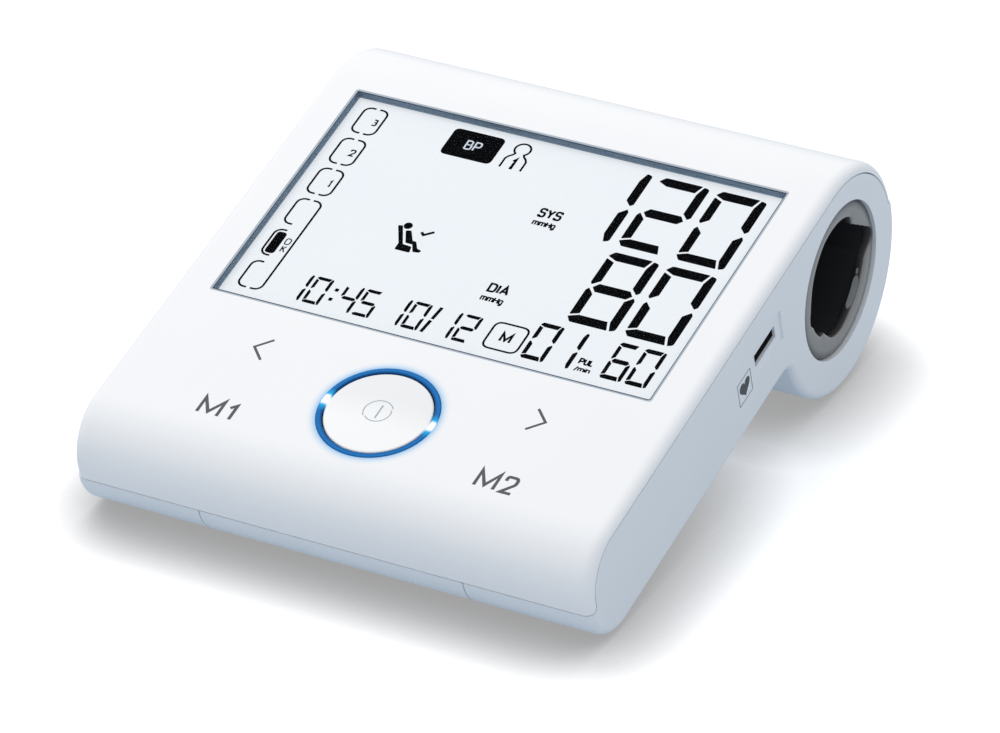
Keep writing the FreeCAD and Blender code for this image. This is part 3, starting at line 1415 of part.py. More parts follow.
def main():
    v = Values(make_sheet())
    profile = Profile(v)
    cover_outer = rounded_outer("cover_outer", v, profile, v.edge_r)
    housing_outer = rounded_outer("housing_outer", v, profile, v.edge_low_r)
    pieces = {
        "upper_cover": make_upper_cover(v, cover_outer, profile),
        "lower_housing": make_lower_housing(v, housing_outer, profile),
        "battery_door": make_battery_door(v, profile),
        "display_frame": make_display_frame(v),
        "display_lens": make_display_lens(v),
        "lcd_glass": make_lcd_glass(v),
        "backlight": make_backlight(v),
        "zebra_strips": make_zebra_strips(v),
        "main_board": make_main_board(v),
        "board_screws": make_board_screws(v),
        "touch_springs": make_touch_springs(v),
        "start_key": make_start_key(v),
        "light_ring": make_light_ring(v),
        "start_switch": make_start_switch(v),
        "ring_leds": make_ring_leds(v),
        "stick_tube": make_stick_tube(v),
        "tube_mouth": make_tube_mouth(v),
        "side_socket": make_side_socket(v),
        "air_socket": make_air_socket(v),
        "power_jack": make_power_jack(v),
        "air_manifold": make_air_manifold(v),
        "release_valve": make_release_valve(v),
        "pressure_sensor": make_pressure_sensor(v),
        "air_hoses": make_air_hoses(v),
        "pump_head": make_pump_head(v),
        "pump_motor": make_pump_motor(v),
        "pump_rotor": make_pump_rotor(v),
        "pump_cradle": make_pump_cradle(v),
        "battery_cells": make_battery_cells(v),
        "battery_contacts": make_battery_contacts(v),
        "battery_springs": make_battery_springs(v),
        "rubber_feet": make_rubber_feet(v),
        "housing_screws": make_housing_screws(v),
    }
    doc.recompute()
    on_key_axis = ("start_key", "light_ring")
    for node, piece in pieces.items():
        finish(v, node, piece, -v.key_y if node in on_key_axis else size(0))
    doc.recompute()
    faults = failed_objects()
    if faults:
        raise RuntimeError(f"these objects did not build: {faults}")
    for node, piece in pieces.items():
        if piece.Shape.isNull() or not piece.Shape.isValid():
            raise RuntimeError(f"{node} has no valid shape")
    os.makedirs("parts", exist_ok=True)
    for node, piece in pieces.items():
        piece.Shape.exportStep(f"parts/{node}.step")
        print(node, len(piece.Shape.Solids), round(piece.Shape.Volume, 1))


main()
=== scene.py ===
"""Looks of a desktop upper-arm blood pressure monitor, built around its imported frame.

The body is white moulded plastic: a sloping display slab whose rear rolls over into a store for a
sensing stick. Every place is given in the slab's own directions, in millimetres: u to the right,
v up the slope and w out of the top face, with their zero at the middle of the display window.
"""

from __future__ import annotations

import json
import logging
import math
from collections.abc import Callable, Sequence
from dataclasses import dataclass, field
from enum import Enum

import bmesh
import bpy
from mathutils import Matrix, Vector


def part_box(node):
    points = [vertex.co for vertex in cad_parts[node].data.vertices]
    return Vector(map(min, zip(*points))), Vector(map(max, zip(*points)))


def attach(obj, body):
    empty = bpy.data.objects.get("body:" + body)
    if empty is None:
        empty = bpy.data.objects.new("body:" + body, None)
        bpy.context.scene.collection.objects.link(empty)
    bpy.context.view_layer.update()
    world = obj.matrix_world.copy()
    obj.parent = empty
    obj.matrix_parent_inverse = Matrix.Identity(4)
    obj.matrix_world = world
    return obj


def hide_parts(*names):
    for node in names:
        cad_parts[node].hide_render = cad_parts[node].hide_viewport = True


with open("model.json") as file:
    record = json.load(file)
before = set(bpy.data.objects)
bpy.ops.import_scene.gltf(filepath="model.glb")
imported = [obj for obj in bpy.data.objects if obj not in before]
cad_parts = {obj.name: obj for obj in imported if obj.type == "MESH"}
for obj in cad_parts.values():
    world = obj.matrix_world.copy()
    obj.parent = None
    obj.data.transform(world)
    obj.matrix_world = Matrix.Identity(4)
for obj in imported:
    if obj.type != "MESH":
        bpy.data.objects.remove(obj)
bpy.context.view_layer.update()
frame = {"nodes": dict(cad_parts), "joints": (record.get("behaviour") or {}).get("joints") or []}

MM = 0.001
# vertices closer than this are one, in metres
WELD = 1e-6
# the most of an edge that one rounding takes, and the sharpest cut of a line's mitre
ROUNDING_SHARE = 0.49
MITRE_SHARE = 0.3
LOG = logging.getLogger("monitor")

Point = tuple[float, float]
Outline = Sequence[Point]
Corner = tuple[float, float, float]
Box = tuple[float, float, float, float]
Colour = tuple[float, float, float, float]
Surface = Callable[[float, float, float], Vector]
Tree = bpy.types.NodeTree
Socket = bpy.types.NodeSocket


class Body(Enum):
    """The bodies that new pieces ride on."""

    ROOT = "root"
    KEY = "key"


class Slot(Enum):
    """The record's material slots, one passed along with each new piece."""

    GLOSS_WHITE = "white_gloss_abs"
    SATIN_WHITE = "white_satin_abs"
    SLATE = "slate_frame"
    LCD = "lcd_panel"
    SMOKED = "smoked_plastic"
    NYLON = "black_plastic"
    SPRING = "spring_steel"
    SCREW = "screw_steel"


class Print(Enum):
    """Kinds of mark, each by its ink, and the painted shade of the key's grooves: on the display,
    the shells, the key and the lens.
    """

    SEGMENT = "lcd_segment_black"
    KNOCKOUT = "lcd_knockout_pale"
    SHELL_GREY = "pad_print_grey"
    GROOVE_SHADE = "painted_groove_shade_blue_grey"
    SLATE = "screen_print_slate"


# ---- Colours and material nodes --------------------------------------------------------------


def linear(code: str) -> Colour:
    """Turns an sRGB hex colour into linear red, green, blue and alpha.

    Args:
        code: The colour as "#RRGGBB".

    Returns:
        The four linear channels.
    """
    channels = [int(code[place:place + 2], 16) / 255 for place in (1, 3, 5)]
    red, green, blue = (
        c / 12.92 if c <= 0.04045 else ((c + 0.055) / 1.055) ** 2.4 for c in channels
    )
    return red, green, blue, 1.0


def add_node(tree: Tree, kind: str, feeds: dict | None = None,
             **settings: object) -> bpy.types.NodeOutputs:
    """Adds a node with its settings, and links or sets its inputs.

    Args:
        tree: The tree that gets the node.
        kind: The node's type name.
        feeds: For each input, by name or number, a socket or a list of sockets to link, or a
            value to set; a colour's value is its hex code.
        **settings: The node's own properties.

    Returns:
        The new node's outputs.
    """
    node = tree.nodes.new(kind)
    for name, value in settings.items():
        setattr(node, name, value)
    for key, value in (feeds or {}).items():
        entry = node.inputs[key]
        sources = value if isinstance(value, list) else [value]
        if isinstance(sources[0], Socket):
            for source in sources:
                tree.links.new(source, entry)
        else:
            entry.default_value = linear(value) if entry.type == "RGBA" else value
    return node.outputs


def mottled(tree: Tree, where: Socket, length_mm: float, first: str, second: str,
            detail: float = 2.0) -> tuple[Socket, Socket]:
    """Draws two close colours that drift into each other.

    Args:
        tree: The material's tree.
        where: The socket of the place.
        length_mm: Length over which the colours change.
        first: One colour.
        second: The other colour.
        detail: Number of finer patterns over the first.

    Returns:
        The sockets of the colour and of the pattern.
    """
    pattern = add_node(tree, "ShaderNodeTexNoise",
                       {"Vector": where, "Scale": 1 / (length_mm * MM), "Detail": detail})["Fac"]
    colour = add_node(tree, "ShaderNodeMix", {0: pattern, 6: first, 7: second},
                      data_type="RGBA")[2]
    return colour, pattern


def crossing(tree: Tree, length: Socket, start_mm: float, stop_mm: float,
             before: str | Socket, after: str | Socket) -> Socket:
    """Draws a colour that changes smoothly while a length crosses a range.

    Args:
        tree: The material's tree.
        length: The socket of the length, in metres.
        start_mm: Where the change starts.
        stop_mm: Where it ends.
        before: The colour below the range.
        after: The colour above it.

    Returns:
        The colour's socket.
    """
    share = add_node(tree, "ShaderNodeMapRange",
                     {"Value": length, "From Min": start_mm * MM, "From Max": stop_mm * MM},
                     interpolation_type="SMOOTHSTEP")["Result"]
    return add_node(tree, "ShaderNodeMix", {0: share, 6: before, 7: after},
                    data_type="RGBA")[2]


def place_on_slab(tree: Tree, where: Socket, origin: Corner, tilt: float) -> Socket:
    """Draws the place as seen from a point of the slab, in the slab's own directions.

    Args:
        tree: The material's tree.
        where: The socket of the place.
        origin: The point, in metres.
        tilt: The slab's tilt.

    Returns:
        The socket of the turned place.
    """
    away = add_node(tree, "ShaderNodeVectorMath", {0: where, 1: origin}, operation="SUBTRACT")
    return add_node(tree, "ShaderNodeVectorRotate", {"Vector": away["Vector"], "Angle": -tilt},
                    rotation_type="X_AXIS")["Vector"]


def distance_in(tree: Tree, place: Socket, plane: Corner) -> Socket:
    """Draws a place's distance from its zero, counted in one plane.

    Args:
        tree: The material's tree.
        place: The socket of the place.
        plane: 1 for each direction that counts and 0 for the one that doesn't.

    Returns:
        The distance's socket, in metres.
    """
    flat = add_node(tree, "ShaderNodeVectorMath", {0: place, 1: plane}, operation="MULTIPLY")
    return add_node(tree, "ShaderNodeVectorMath", {0: flat["Vector"]},
                    operation="LENGTH")["Value"]


@dataclass(frozen=True)
class Finish:
    """A finish by its material's name; each kind of finish draws its own nodes."""

    name: str

    def material(self) -> bpy.types.Material:
        """Finds the material of this finish, or makes it the first time.

        Returns:
            The material.
        """
        known = bpy.data.materials.get(self.name)
        if known:
            return known
        made = bpy.data.materials.new(self.name)
        made.use_nodes = True
        made.node_tree.nodes.clear()
        surface = self.draw(made.node_tree)
        add_node(made.node_tree, "ShaderNodeOutputMaterial", {"Surface": surface})
        return made

    def draw(self, tree: Tree) -> Socket:
        """Draws the nodes and returns the shader socket."""
        raise NotImplementedError


@dataclass(frozen=True)
class Solid(Finish):
    """A finish on one Principled surface; each kind of it gives the surface's inputs."""

    def draw(self, tree: Tree) -> Socket:
        """Draws the surface.

        Args:
            tree: The material's tree.

        Returns:
            The shader's socket.
        """
        where = add_node(tree, "ShaderNodeTexCoord")["Object"]
        return add_node(tree, "ShaderNodeBsdfPrincipled", self.feeds(tree, where))["BSDF"]

    def feeds(self, tree: Tree, where: Socket) -> dict:
        """Draws what changes over the surface and returns all its inputs."""
        raise NotImplementedError


@dataclass(frozen=True)
class Moulded(Solid):
    """Injection-moulded plastic or rubber, with the tool's grain and a slight drift of colour."""

    colour: str
    shade: str
    roughness: float
    grain_mm: float = 0.7
    grain_depth: float = 0.25
    relief: float = 0.04
    drift_mm: float = 30.0
    ior: float = 1.46
    rough_spread: float = 0.04
    alpha: float = 1.0

    def base(self, tree: Tree, where: Socket) -> Socket:
        """Returns the base colour: the plastic's own, drifting slightly towards its shade."""
        return mottled(tree, where, self.drift_mm, self.colour, self.shade)[0]

    def feeds(self, tree: Tree, where: Socket) -> dict:
        """Draws the grain in the bump and the roughness.

        Args:
            tree: The material's tree.
            where: The socket of the place.

        Returns:
            The inputs.
        """
        grain = add_node(tree, "ShaderNodeTexNoise",
                         {"Vector": where, "Scale": 1 / (self.grain_mm * MM),
                          "Detail": 3.0})["Fac"]
        bump = add_node(tree, "ShaderNodeBump",
                        {"Height": grain, "Strength": self.relief,
                         "Distance": self.grain_mm * MM * self.grain_depth})["Normal"]
        rough = add_node(tree, "ShaderNodeMapRange",
                         {"Value": grain, "To Min": self.roughness - self.rough_spread,
                          "To Max": self.roughness + self.rough_spread})["Result"]
        return {"Base Color": self.base(tree, where), "Roughness": rough, "IOR": self.ior,
                "Alpha": self.alpha, "Normal": bump}


@dataclass(frozen=True)
class PaintedGlowGloss(Moulded):
    """The cover's gloss white, with a painted soft blue glow from the ring.

    The blue is painted into the white's base colour round the ring and fades over a few
    millimetres, as light leaking sideways from the ring would.
    """

    glow: str = "#4FB2EE"
    glow_reach_mm: float = 2.7
    glow_strength: float = 0.78
    glow_fade: float = 2.2
    ring_r_mm: float = 15.0
    axis_at: Corner = (0.0, 0.0, 0.0)
    tilt: float = 0.0

    def base(self, tree: Tree, where: Socket) -> Socket:
        """Draws the white with the painted blue glow next to the ring.

        Args:
            tree: The material's tree.
            where: The socket of the place.

        Returns:
            The colour's socket.
        """
        away = distance_in(tree, place_on_slab(tree, where, self.axis_at, self.tilt),
                           (1.0, 1.0, 0.0))
        near = add_node(tree, "ShaderNodeMapRange",
                        {"Value": away, "From Min": self.ring_r_mm * MM,
                         "From Max": (self.ring_r_mm + self.glow_reach_mm) * MM,
                         "To Min": 1.0, "To Max": 0.0})["Result"]
        fading = add_node(tree, "ShaderNodeMath", {0: near, 1: self.glow_fade},
                          operation="POWER")["Value"]
        share = add_node(tree, "ShaderNodeMath", {0: fading, 1: self.glow_strength},
                         operation="MULTIPLY")["Value"]
        return add_node(tree, "ShaderNodeMix",
                        {0: share, 6: super().base(tree, where), 7: self.glow},
                        data_type="RGBA")[2]


@dataclass(frozen=True)
class PaintedShadeKeyGloss(Moulded):
    """The key's polished white, with painted shade that darkens it up the slope."""

    # painted shade up the slope, and where it has faded into the lit white
    painted_shade: str = "#EEF0F2"
    shade_y_mm: float = -50.5
    lit_y_mm: float = -62.5

    def base(self, tree: Tree, where: Socket) -> Socket:
        """Draws the white, darkening into the painted shade up the slope.

        Args:
            tree: The material's tree.
            where: The socket of the place.

        Returns:
            The colour's socket.
        """
        up = add_node(tree, "ShaderNodeSeparateXYZ", {0: where})["Y"]
        return crossing(tree, up, self.lit_y_mm, self.shade_y_mm, super().base(tree, where),
                        self.painted_shade)


@dataclass(frozen=True)
class SlateFrame(Moulded):
    """Satin slate plastic, with a painted highlight on its top face and a thin painted highlight
    line at the lens's foot.
    """

    # painted highlights: the pale top face, and the thin line at the lens's foot
    pale: str = "#AEBAC6"
    line: str = "#93A5B5"
    top_w_mm: float = -0.1
    edge_mm: float = 0.06
    step_w_mm: float = -1.5
    line_mm: float = 0.12
    top_at: Corner = (0.0, 0.0, 0.0)
    tilt: float = 0.0

    def base(self, tree: Tree, where: Socket) -> Socket:
        """Draws the colour by depth: painted highlight on the top face, dark wall, a thin painted
        highlight line in it.

        Args:
            tree: The material's tree.
            where: The socket of the place.

        Returns:
            The colour's socket.
        """
        depth = add_node(tree, "ShaderNodeSeparateXYZ",
                         {0: place_on_slab(tree, where, self.top_at, self.tilt)})["Z"]
        above = add_node(tree, "ShaderNodeMath", {0: depth, 1: self.step_w_mm * MM},
                         operation="SUBTRACT")["Value"]
        beside = add_node(tree, "ShaderNodeMath", {0: above}, operation="ABSOLUTE")["Value"]
        wall = crossing(tree, beside, self.line_mm, self.line_mm * 2, self.line,
                        super().base(tree, where))
        return crossing(tree, depth, self.top_w_mm - self.edge_mm, self.top_w_mm, wall,
                        self.pale)


@dataclass(frozen=True)
class ClearSheet(Finish):
    """Clear acrylic or glass: nearly invisible, with a faint coated gloss and fine dust grain."""

    tint: str
    gloss: str
    ior: float
    roughness: float = 0.03
    grain_mm: float = 2.0

    def draw(self, tree: Tree) -> Socket:
        """Draws a see-through sheet with gloss outside that grows towards grazing angles.

        Args:
            tree: The material's tree.

        Returns:
            The shader's socket.
        """
        where = add_node(tree, "ShaderNodeTexCoord")["Object"]
        grain = add_node(tree, "ShaderNodeTexNoise",
                         {"Vector": where, "Scale": 1 / (self.grain_mm * MM)})["Fac"]
        rough = add_node(tree, "ShaderNodeMapRange",
                         {"Value": grain, "To Min": self.roughness,
                          "To Max": self.roughness * 2})["Result"]
        clear = add_node(tree, "ShaderNodeBsdfTransparent", {"Color": self.tint})["BSDF"]
        gloss = add_node(tree, "ShaderNodeBsdfGlossy",
                         {"Color": self.gloss, "Roughness": rough})["BSDF"]
        share = add_node(tree, "ShaderNodeFresnel", {"IOR": self.ior})["Fac"]
        leaving = add_node(tree, "ShaderNodeNewGeometry")["Backfacing"]
        entering = add_node(tree, "ShaderNodeMath", {0: 1.0, 1: leaving},
                            operation="SUBTRACT")["Value"]
        outside = add_node(tree, "ShaderNodeMath", {0: share, 1: entering},
                           operation="MULTIPLY")["Value"]
        return add_node(tree, "ShaderNodeMixShader", {0: outside, 1: clear, 2: gloss})["Shader"]


@dataclass(frozen=True)
class LitPanel(Solid):
    """Milky panel that scatters its own light: a backlit glass, a light guide or a lamp."""

    colour: str
    glow: str
    strength: float
    roughness: float = 0.5
    cloud_mm: float = 18.0
    scatter: float = 1.0
    ior: float = 1.3

    def feeds(self, tree: Tree, where: Socket) -> dict:
        """Draws the even glow and a faint cloudiness.

        Args:
            tree: The material's tree.
            where: The socket of the place.

        Returns:
            The inputs.
        """
        light, _ = mottled(tree, where, self.cloud_mm, self.colour, self.glow)
        base = add_node(tree, "ShaderNodeVectorMath", {0: light, "Scale": self.scatter},
                        operation="SCALE")["Vector"]
        return {"Base Color": base, "Roughness": self.roughness, "IOR": self.ior,
                "Emission Color": light, "Emission Strength": self.strength}


@dataclass(frozen=True)
class BlueLightRing(Solid):
    """Blue-dyed light guide, lit by lamps at its two sides, where it runs to cyan and white."""

    deep: str = "#0C4F8E"
    line: str = "#1873BC"
    edge: str = "#115EA0"
    cyan: str = "#1FA3DC"
    core: str = "#FFFFFF"
    strength: float = 0.28
    roughness: float = 0.35
    specular: float = 0.12
    # distances from the axis: where the bright line starts, is full, fades and ends
    line_mm: Box = (13.6, 14.3, 14.65, 15.0)
    # distances from the lamps' middle, up the slope, over which white and cyan fade
    core_mm: Point = (0.75, 2.1)
    cyan_mm: Point = (1.5, 4.2)
    axis_at: Corner = (0.0, 0.0, 0.0)
    tilt: float = 0.0

    def feeds(self, tree: Tree, where: Socket) -> dict:
        """Draws the ring's light by the distances from its axis and from its lamps.

        Args:
            tree: The material's tree.
            where: The socket of the place.

        Returns:
            The inputs.
        """
        place = place_on_slab(tree, where, self.axis_at, self.tilt)
        away = distance_in(tree, place, (1.0, 1.0, 0.0))
        up = add_node(tree, "ShaderNodeSeparateXYZ", {0: place})["Y"]
        beside = add_node(tree, "ShaderNodeMath", {0: up}, operation="ABSOLUTE")["Value"]
        start, full, fade, stop = self.line_mm
        inner = crossing(tree, away, start, full, self.deep, self.line)
        blue = crossing(tree, away, fade, stop, inner, self.edge)
        lit = crossing(tree, beside, *self.cyan_mm, self.cyan, blue)
        colour = crossing(tree, beside, *self.core_mm, self.core, lit)
        shine = add_node(tree, "ShaderNodeMapRange",
                         {"Value": beside, "From Min": self.cyan_mm[0] * MM,
                          "From Max": self.cyan_mm[1] * MM, "To Min": self.strength,
                          "To Max": 0.0}, interpolation_type="SMOOTHSTEP")["Result"]
        return {"Base Color": colour, "Roughness": self.roughness,
                "Specular IOR Level": self.specular, "Emission Color": colour,
                "Emission Strength": shine}


@dataclass(frozen=True)
class Ink(Solid):
    """Printed or etched mark: an even, dull film with a slight mottle."""

    colour: str
    mottle: str
    roughness: float
    mottle_mm: float = 0.8

    def feeds(self, tree: Tree, where: Socket) -> dict:
        """Draws the film's mottle."""
        base, _ = mottled(tree, where, self.mottle_mm, self.colour, self.mottle)
        return {"Base Color": base, "Roughness": self.roughness, "Specular IOR Level": 0.0}


@dataclass(frozen=True)
class Metal(Solid):
    """Bare metal with fine drawn or turned lines along one direction."""

    colour: str
    shade: str
    roughness: float
    rough_share: float = 0.3
    line_mm: float = 0.15
    stretch: Corner = (1.0, 1.0, 12.0)

    def feeds(self, tree: Tree, where: Socket) -> dict:
        """Draws stretched lines that the colour and the roughness follow.

        Args:
            tree: The material's tree.
            where: The socket of the place.

        Returns:
            The inputs.
        """
        lay = add_node(tree, "ShaderNodeMapping", {"Vector": where, "Scale": self.stretch})
        base, lines = mottled(tree, lay["Vector"], self.line_mm * max(self.stretch),
                              self.colour, self.shade, detail=4.0)
        rough = add_node(tree, "ShaderNodeMapRange",
                         {"Value": lines, "To Min": self.roughness * (1 - self.rough_share),
                          "To Max": self.roughness * (1 + self.rough_share)})["Result"]
        return {"Base Color": base, "Metallic": 1.0, "Roughness": rough}


@dataclass(frozen=True)
class SolderMask(Solid):
    """Green solder mask over copper tracks, glossy, the tracks showing as a lighter relief."""

    mask: str = "#0F5A33"
    track: str = "#2C8150"
    roughness: float = 0.28
    pitch_mm: float = 2.2
    scatter: float = 0.55
    # share of the pitch from a track's middle where it starts to fall and where it ends
    track_edge: Point = (0.06, 0.1)
    track_t_mm: float = 0.04
    relief: float = 0.3

    def feeds(self, tree: Tree, where: Socket) -> dict:
        """Draws the tracks under the mask.

        Args:
            tree: The material's tree.
            where: The socket of the place.

        Returns:
            The inputs.
        """
        cells = add_node(tree, "ShaderNodeTexVoronoi",
                         {"Vector": where, "Scale": 1 / (self.pitch_mm * MM),
                          "Randomness": self.scatter},
                         feature="DISTANCE_TO_EDGE", distance="EUCLIDEAN")["Distance"]
        line = add_node(tree, "ShaderNodeMapRange",
                        {"Value": cells, "From Min": self.track_edge[0],
                         "From Max": self.track_edge[1], "To Min": 1.0, "To Max": 0.0},
                        interpolation_type="SMOOTHSTEP")["Result"]
        base = add_node(tree, "ShaderNodeMix", {0: line, 6: self.mask, 7: self.track},
                        data_type="RGBA")[2]
        bump = add_node(tree, "ShaderNodeBump",
                        {"Height": line, "Strength": self.relief,
                         "Distance": self.track_t_mm * MM})["Normal"]
        return {"Base Color": base, "Roughness": self.roughness, "Normal": bump}


@dataclass(frozen=True)
class CellSleeve(Solid):
    """Shrink sleeve of a cell: glossy dark film with a pale band at one end of its length."""

    band_from_mm: float
    band_to_mm: float
    body: str = "#2B2F36"
    band: str = "#C6CBD1"
    edge_mm: float = 0.2
    roughness: float = 0.22
    wrinkle_mm: float = 3.0
    wrinkle_t_mm: float = 0.1
    relief: float = 0.1

    def feeds(self, tree: Tree, where: Socket) -> dict:
        """Draws the film, whose band lies between two places along the body.

        Args:
            tree: The material's tree.
            where: The socket of the place.

        Returns:
            The inputs.
        """
        along = add_node(tree, "ShaderNodeSeparateXYZ", {0: where})["Y"]
        start, stop = self.band_from_mm, self.band_to_mm
        film = crossing(tree, along, start, start + self.edge_mm, self.body, self.band)
        base = crossing(tree, along, stop, stop + self.edge_mm, film, self.body)
        wrinkle = add_node(tree, "ShaderNodeTexNoise",
                           {"Vector": where, "Scale": 1 / (self.wrinkle_mm * MM)})["Fac"]
        bump = add_node(tree, "ShaderNodeBump",
                        {"Height": wrinkle, "Strength": self.relief,
                         "Distance": self.wrinkle_t_mm * MM})["Normal"]
        return {"Base Color": base, "Roughness": self.roughness, "Normal": bump}


@dataclass(frozen=True)
class SmokedLip(Moulded):
    """Grey-dyed clear plastic: grey at the lip, with painted shade that darkens it towards its rim
    and down its bore.
    """

    # painted shade: darker down the bore, and towards the rim
    deep: str = "#555556"
    rim_shade: str = "#363637"
    bore_shade_x_mm: Point = (68.1, 68.65)
    rim_shade_mm: Point = (17.6, 20.3)
    axis_at: Corner = (0.0, 0.0, 0.0)

    def base(self, tree: Tree, where: Socket) -> Socket:
        """Draws the grey of the face, with painted shade that darkens it by the radius and by the
        depth.

        Args:
            tree: The material's tree.
            where: The socket of the place.

        Returns:
            The colour's socket.
        """
        away = add_node(tree, "ShaderNodeVectorMath", {0: where, 1: self.axis_at},
                        operation="SUBTRACT")["Vector"]
        face = crossing(tree, distance_in(tree, away, (0.0, 1.0, 1.0)), *self.rim_shade_mm,
                        super().base(tree, where), self.rim_shade)
        along = add_node(tree, "ShaderNodeSeparateXYZ", {0: where})["X"]
        return crossing(tree, along, *self.bore_shade_x_mm, self.deep, face)


# ---- Places on the body ----------------------------------------------------------------------


@dataclass(frozen=True)
class SlabFrame:
    """The slab's directions: its tilt about X, and the window's middle in metres."""

    tilt: float
    origin: Vector

    @classmethod
    def from_frame(cls, lens_middle_w: float = -0.85) -> SlabFrame:
        """Finds the slab from the key's axis and the lens.

        Args:
            lens_middle_w: Height of the lens's middle over the top face, in mm.

        Returns:
            The slab's frame.
        """
        press = next(joint for joint in frame["joints"] if joint["name"] == "key_press")
        axis = Vector(press["axis"])
        tilt = math.atan2(axis.y, -axis.z)
        low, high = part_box("display_lens")
        flat = cls(tilt, (low + high) / 2)
        return cls(tilt, flat.at(0.0, 0.0, -lens_middle_w))

    def along(self, u: float, v: float, w: float) -> Vector:
        """Returns the slab's direction (u, v, w) in the row's frame, of the same length."""
        sine, cosine = math.sin(self.tilt), math.cos(self.tilt)
        return Vector((u, v * cosine - w * sine, v * sine + w * cosine))

    def at(self, u: float, v: float, w: float) -> Vector:
        """Returns the place of (u, v, w), given in mm, in metres in the row's frame."""
        return self.origin + self.along(u, v, w) * MM

    def on_right_side(self, half_width: float) -> Surface:
        """Returns the surface of the right side, where a mark reads with v across and w up.

        Args:
            half_width: Distance of the side from the body's middle plane, in mm.

        Returns:
            A function of v, w and the height over the side.
        """
        return lambda v, w, out: self.at(half_width + out, v, w)

    def on_crown(self, centre: Point, top_w: float, crown_r: float) -> Surface:
        """Returns the crowned surface of the round key.

        Args:
            centre: The key's middle as (u, v).
            top_w: Height of the crown's middle over the top face.
            crown_r: Radius of the crown's arc.

        Returns:
            A function of u and v from the key's middle and the height over the crown.
        """
        def place(u: float, v: float, out: float) -> Vector:
            """Returns a place over the crown."""
            sink = crown_r - math.sqrt(crown_r ** 2 - u * u - v * v)
            return self.at(centre[0] + u, centre[1] + v, top_w - sink + out)
        return place


# ---- Outlines and thin plates ----------------------------------------------------------------


def rounded(corners: Sequence[Corner], steps: int = 5) -> list[Point]:
    """Rounds the corners of a closed outline.

    Args:
        corners: Corners as (x, y, radius); a radius of 0 stays sharp.
        steps: Number of points on each rounding, less one.

    Returns:
        The outline's points.
    """
    points: list[Point] = []
    count = len(corners)
    for index, (x, y, radius) in enumerate(corners):
        here = Vector((x, y))
        before = Vector(corners[index - 1][:2]) - here
        after = Vector(corners[(index + 1) % count][:2]) - here
        if radius == 0:
            points.append((x, y))
            continue
        half = before.angle(after) / 2
        back = min(radius / math.tan(half), ROUNDING_SHARE * before.length,
                   ROUNDING_SHARE * after.length)
        first, last = here + before.normalized() * back, here + after.normalized() * back
        for step in range(steps + 1):
            t = step / steps
            point = first * (1 - t) ** 2 + here * 2 * t * (1 - t) + last * t * t
            points.append((point.x, point.y))
    return points


def box_outline(u0: float, v0: float, u1: float, v1: float, radius: float) -> list[Point]:
    """Returns a rounded rectangle between two corners."""
    return rounded([(u0, v0, radius), (u1, v0, radius), (u1, v1, radius), (u0, v1, radius)])


def arc(centre: Point, radius: float, start: float, stop: float, steps: int = 24) -> list[Point]:
    """Returns points on an arc, from a start to a stop angle in degrees."""
    angles = [math.radians(start + (stop - start) * step / steps) for step in range(steps + 1)]
    return [(centre[0] + radius * math.cos(a), centre[1] + radius * math.sin(a)) for a in angles]


def edges(path: Outline, width: float) -> tuple[list[Point], list[Point]]:
    """Works out both edges of a line of even width, with mitred corners.

    Args:
        path: The line's middle; it is closed if it ends where it starts.
        width: The line's width.

    Returns:
        The left edge and the right edge; those of a closed line leave out its last point.
    """
    points = [Vector(point) for point in path]
    runs = [(b - a).normalized() for a, b in zip(points, points[1:])]
    closed = (points[0] - points[-1]).length < WELD
    if closed:
        points.pop()
    left, right = [], []
    for index, point in enumerate(points):
        before = runs[index - 1] if closed or index else runs[0]
        after = runs[min(index, len(runs) - 1)]
        across = Vector((-(before.y + after.y), before.x + after.x)).normalized()
        square = Vector((-after.y, after.x))
        reach = width / 2 / max(across.dot(square), MITRE_SHARE)
        left.append(tuple(point + across * reach))
        right.append(tuple(point - across * reach))
    return left, right


def twice_area(outline: Outline) -> float:
    """Returns twice the area of a closed outline, positive if it runs anticlockwise."""
    return sum(a[0] * b[1] - b[0] * a[1] for a, b in zip(outline, [*outline[1:], outline[0]]))


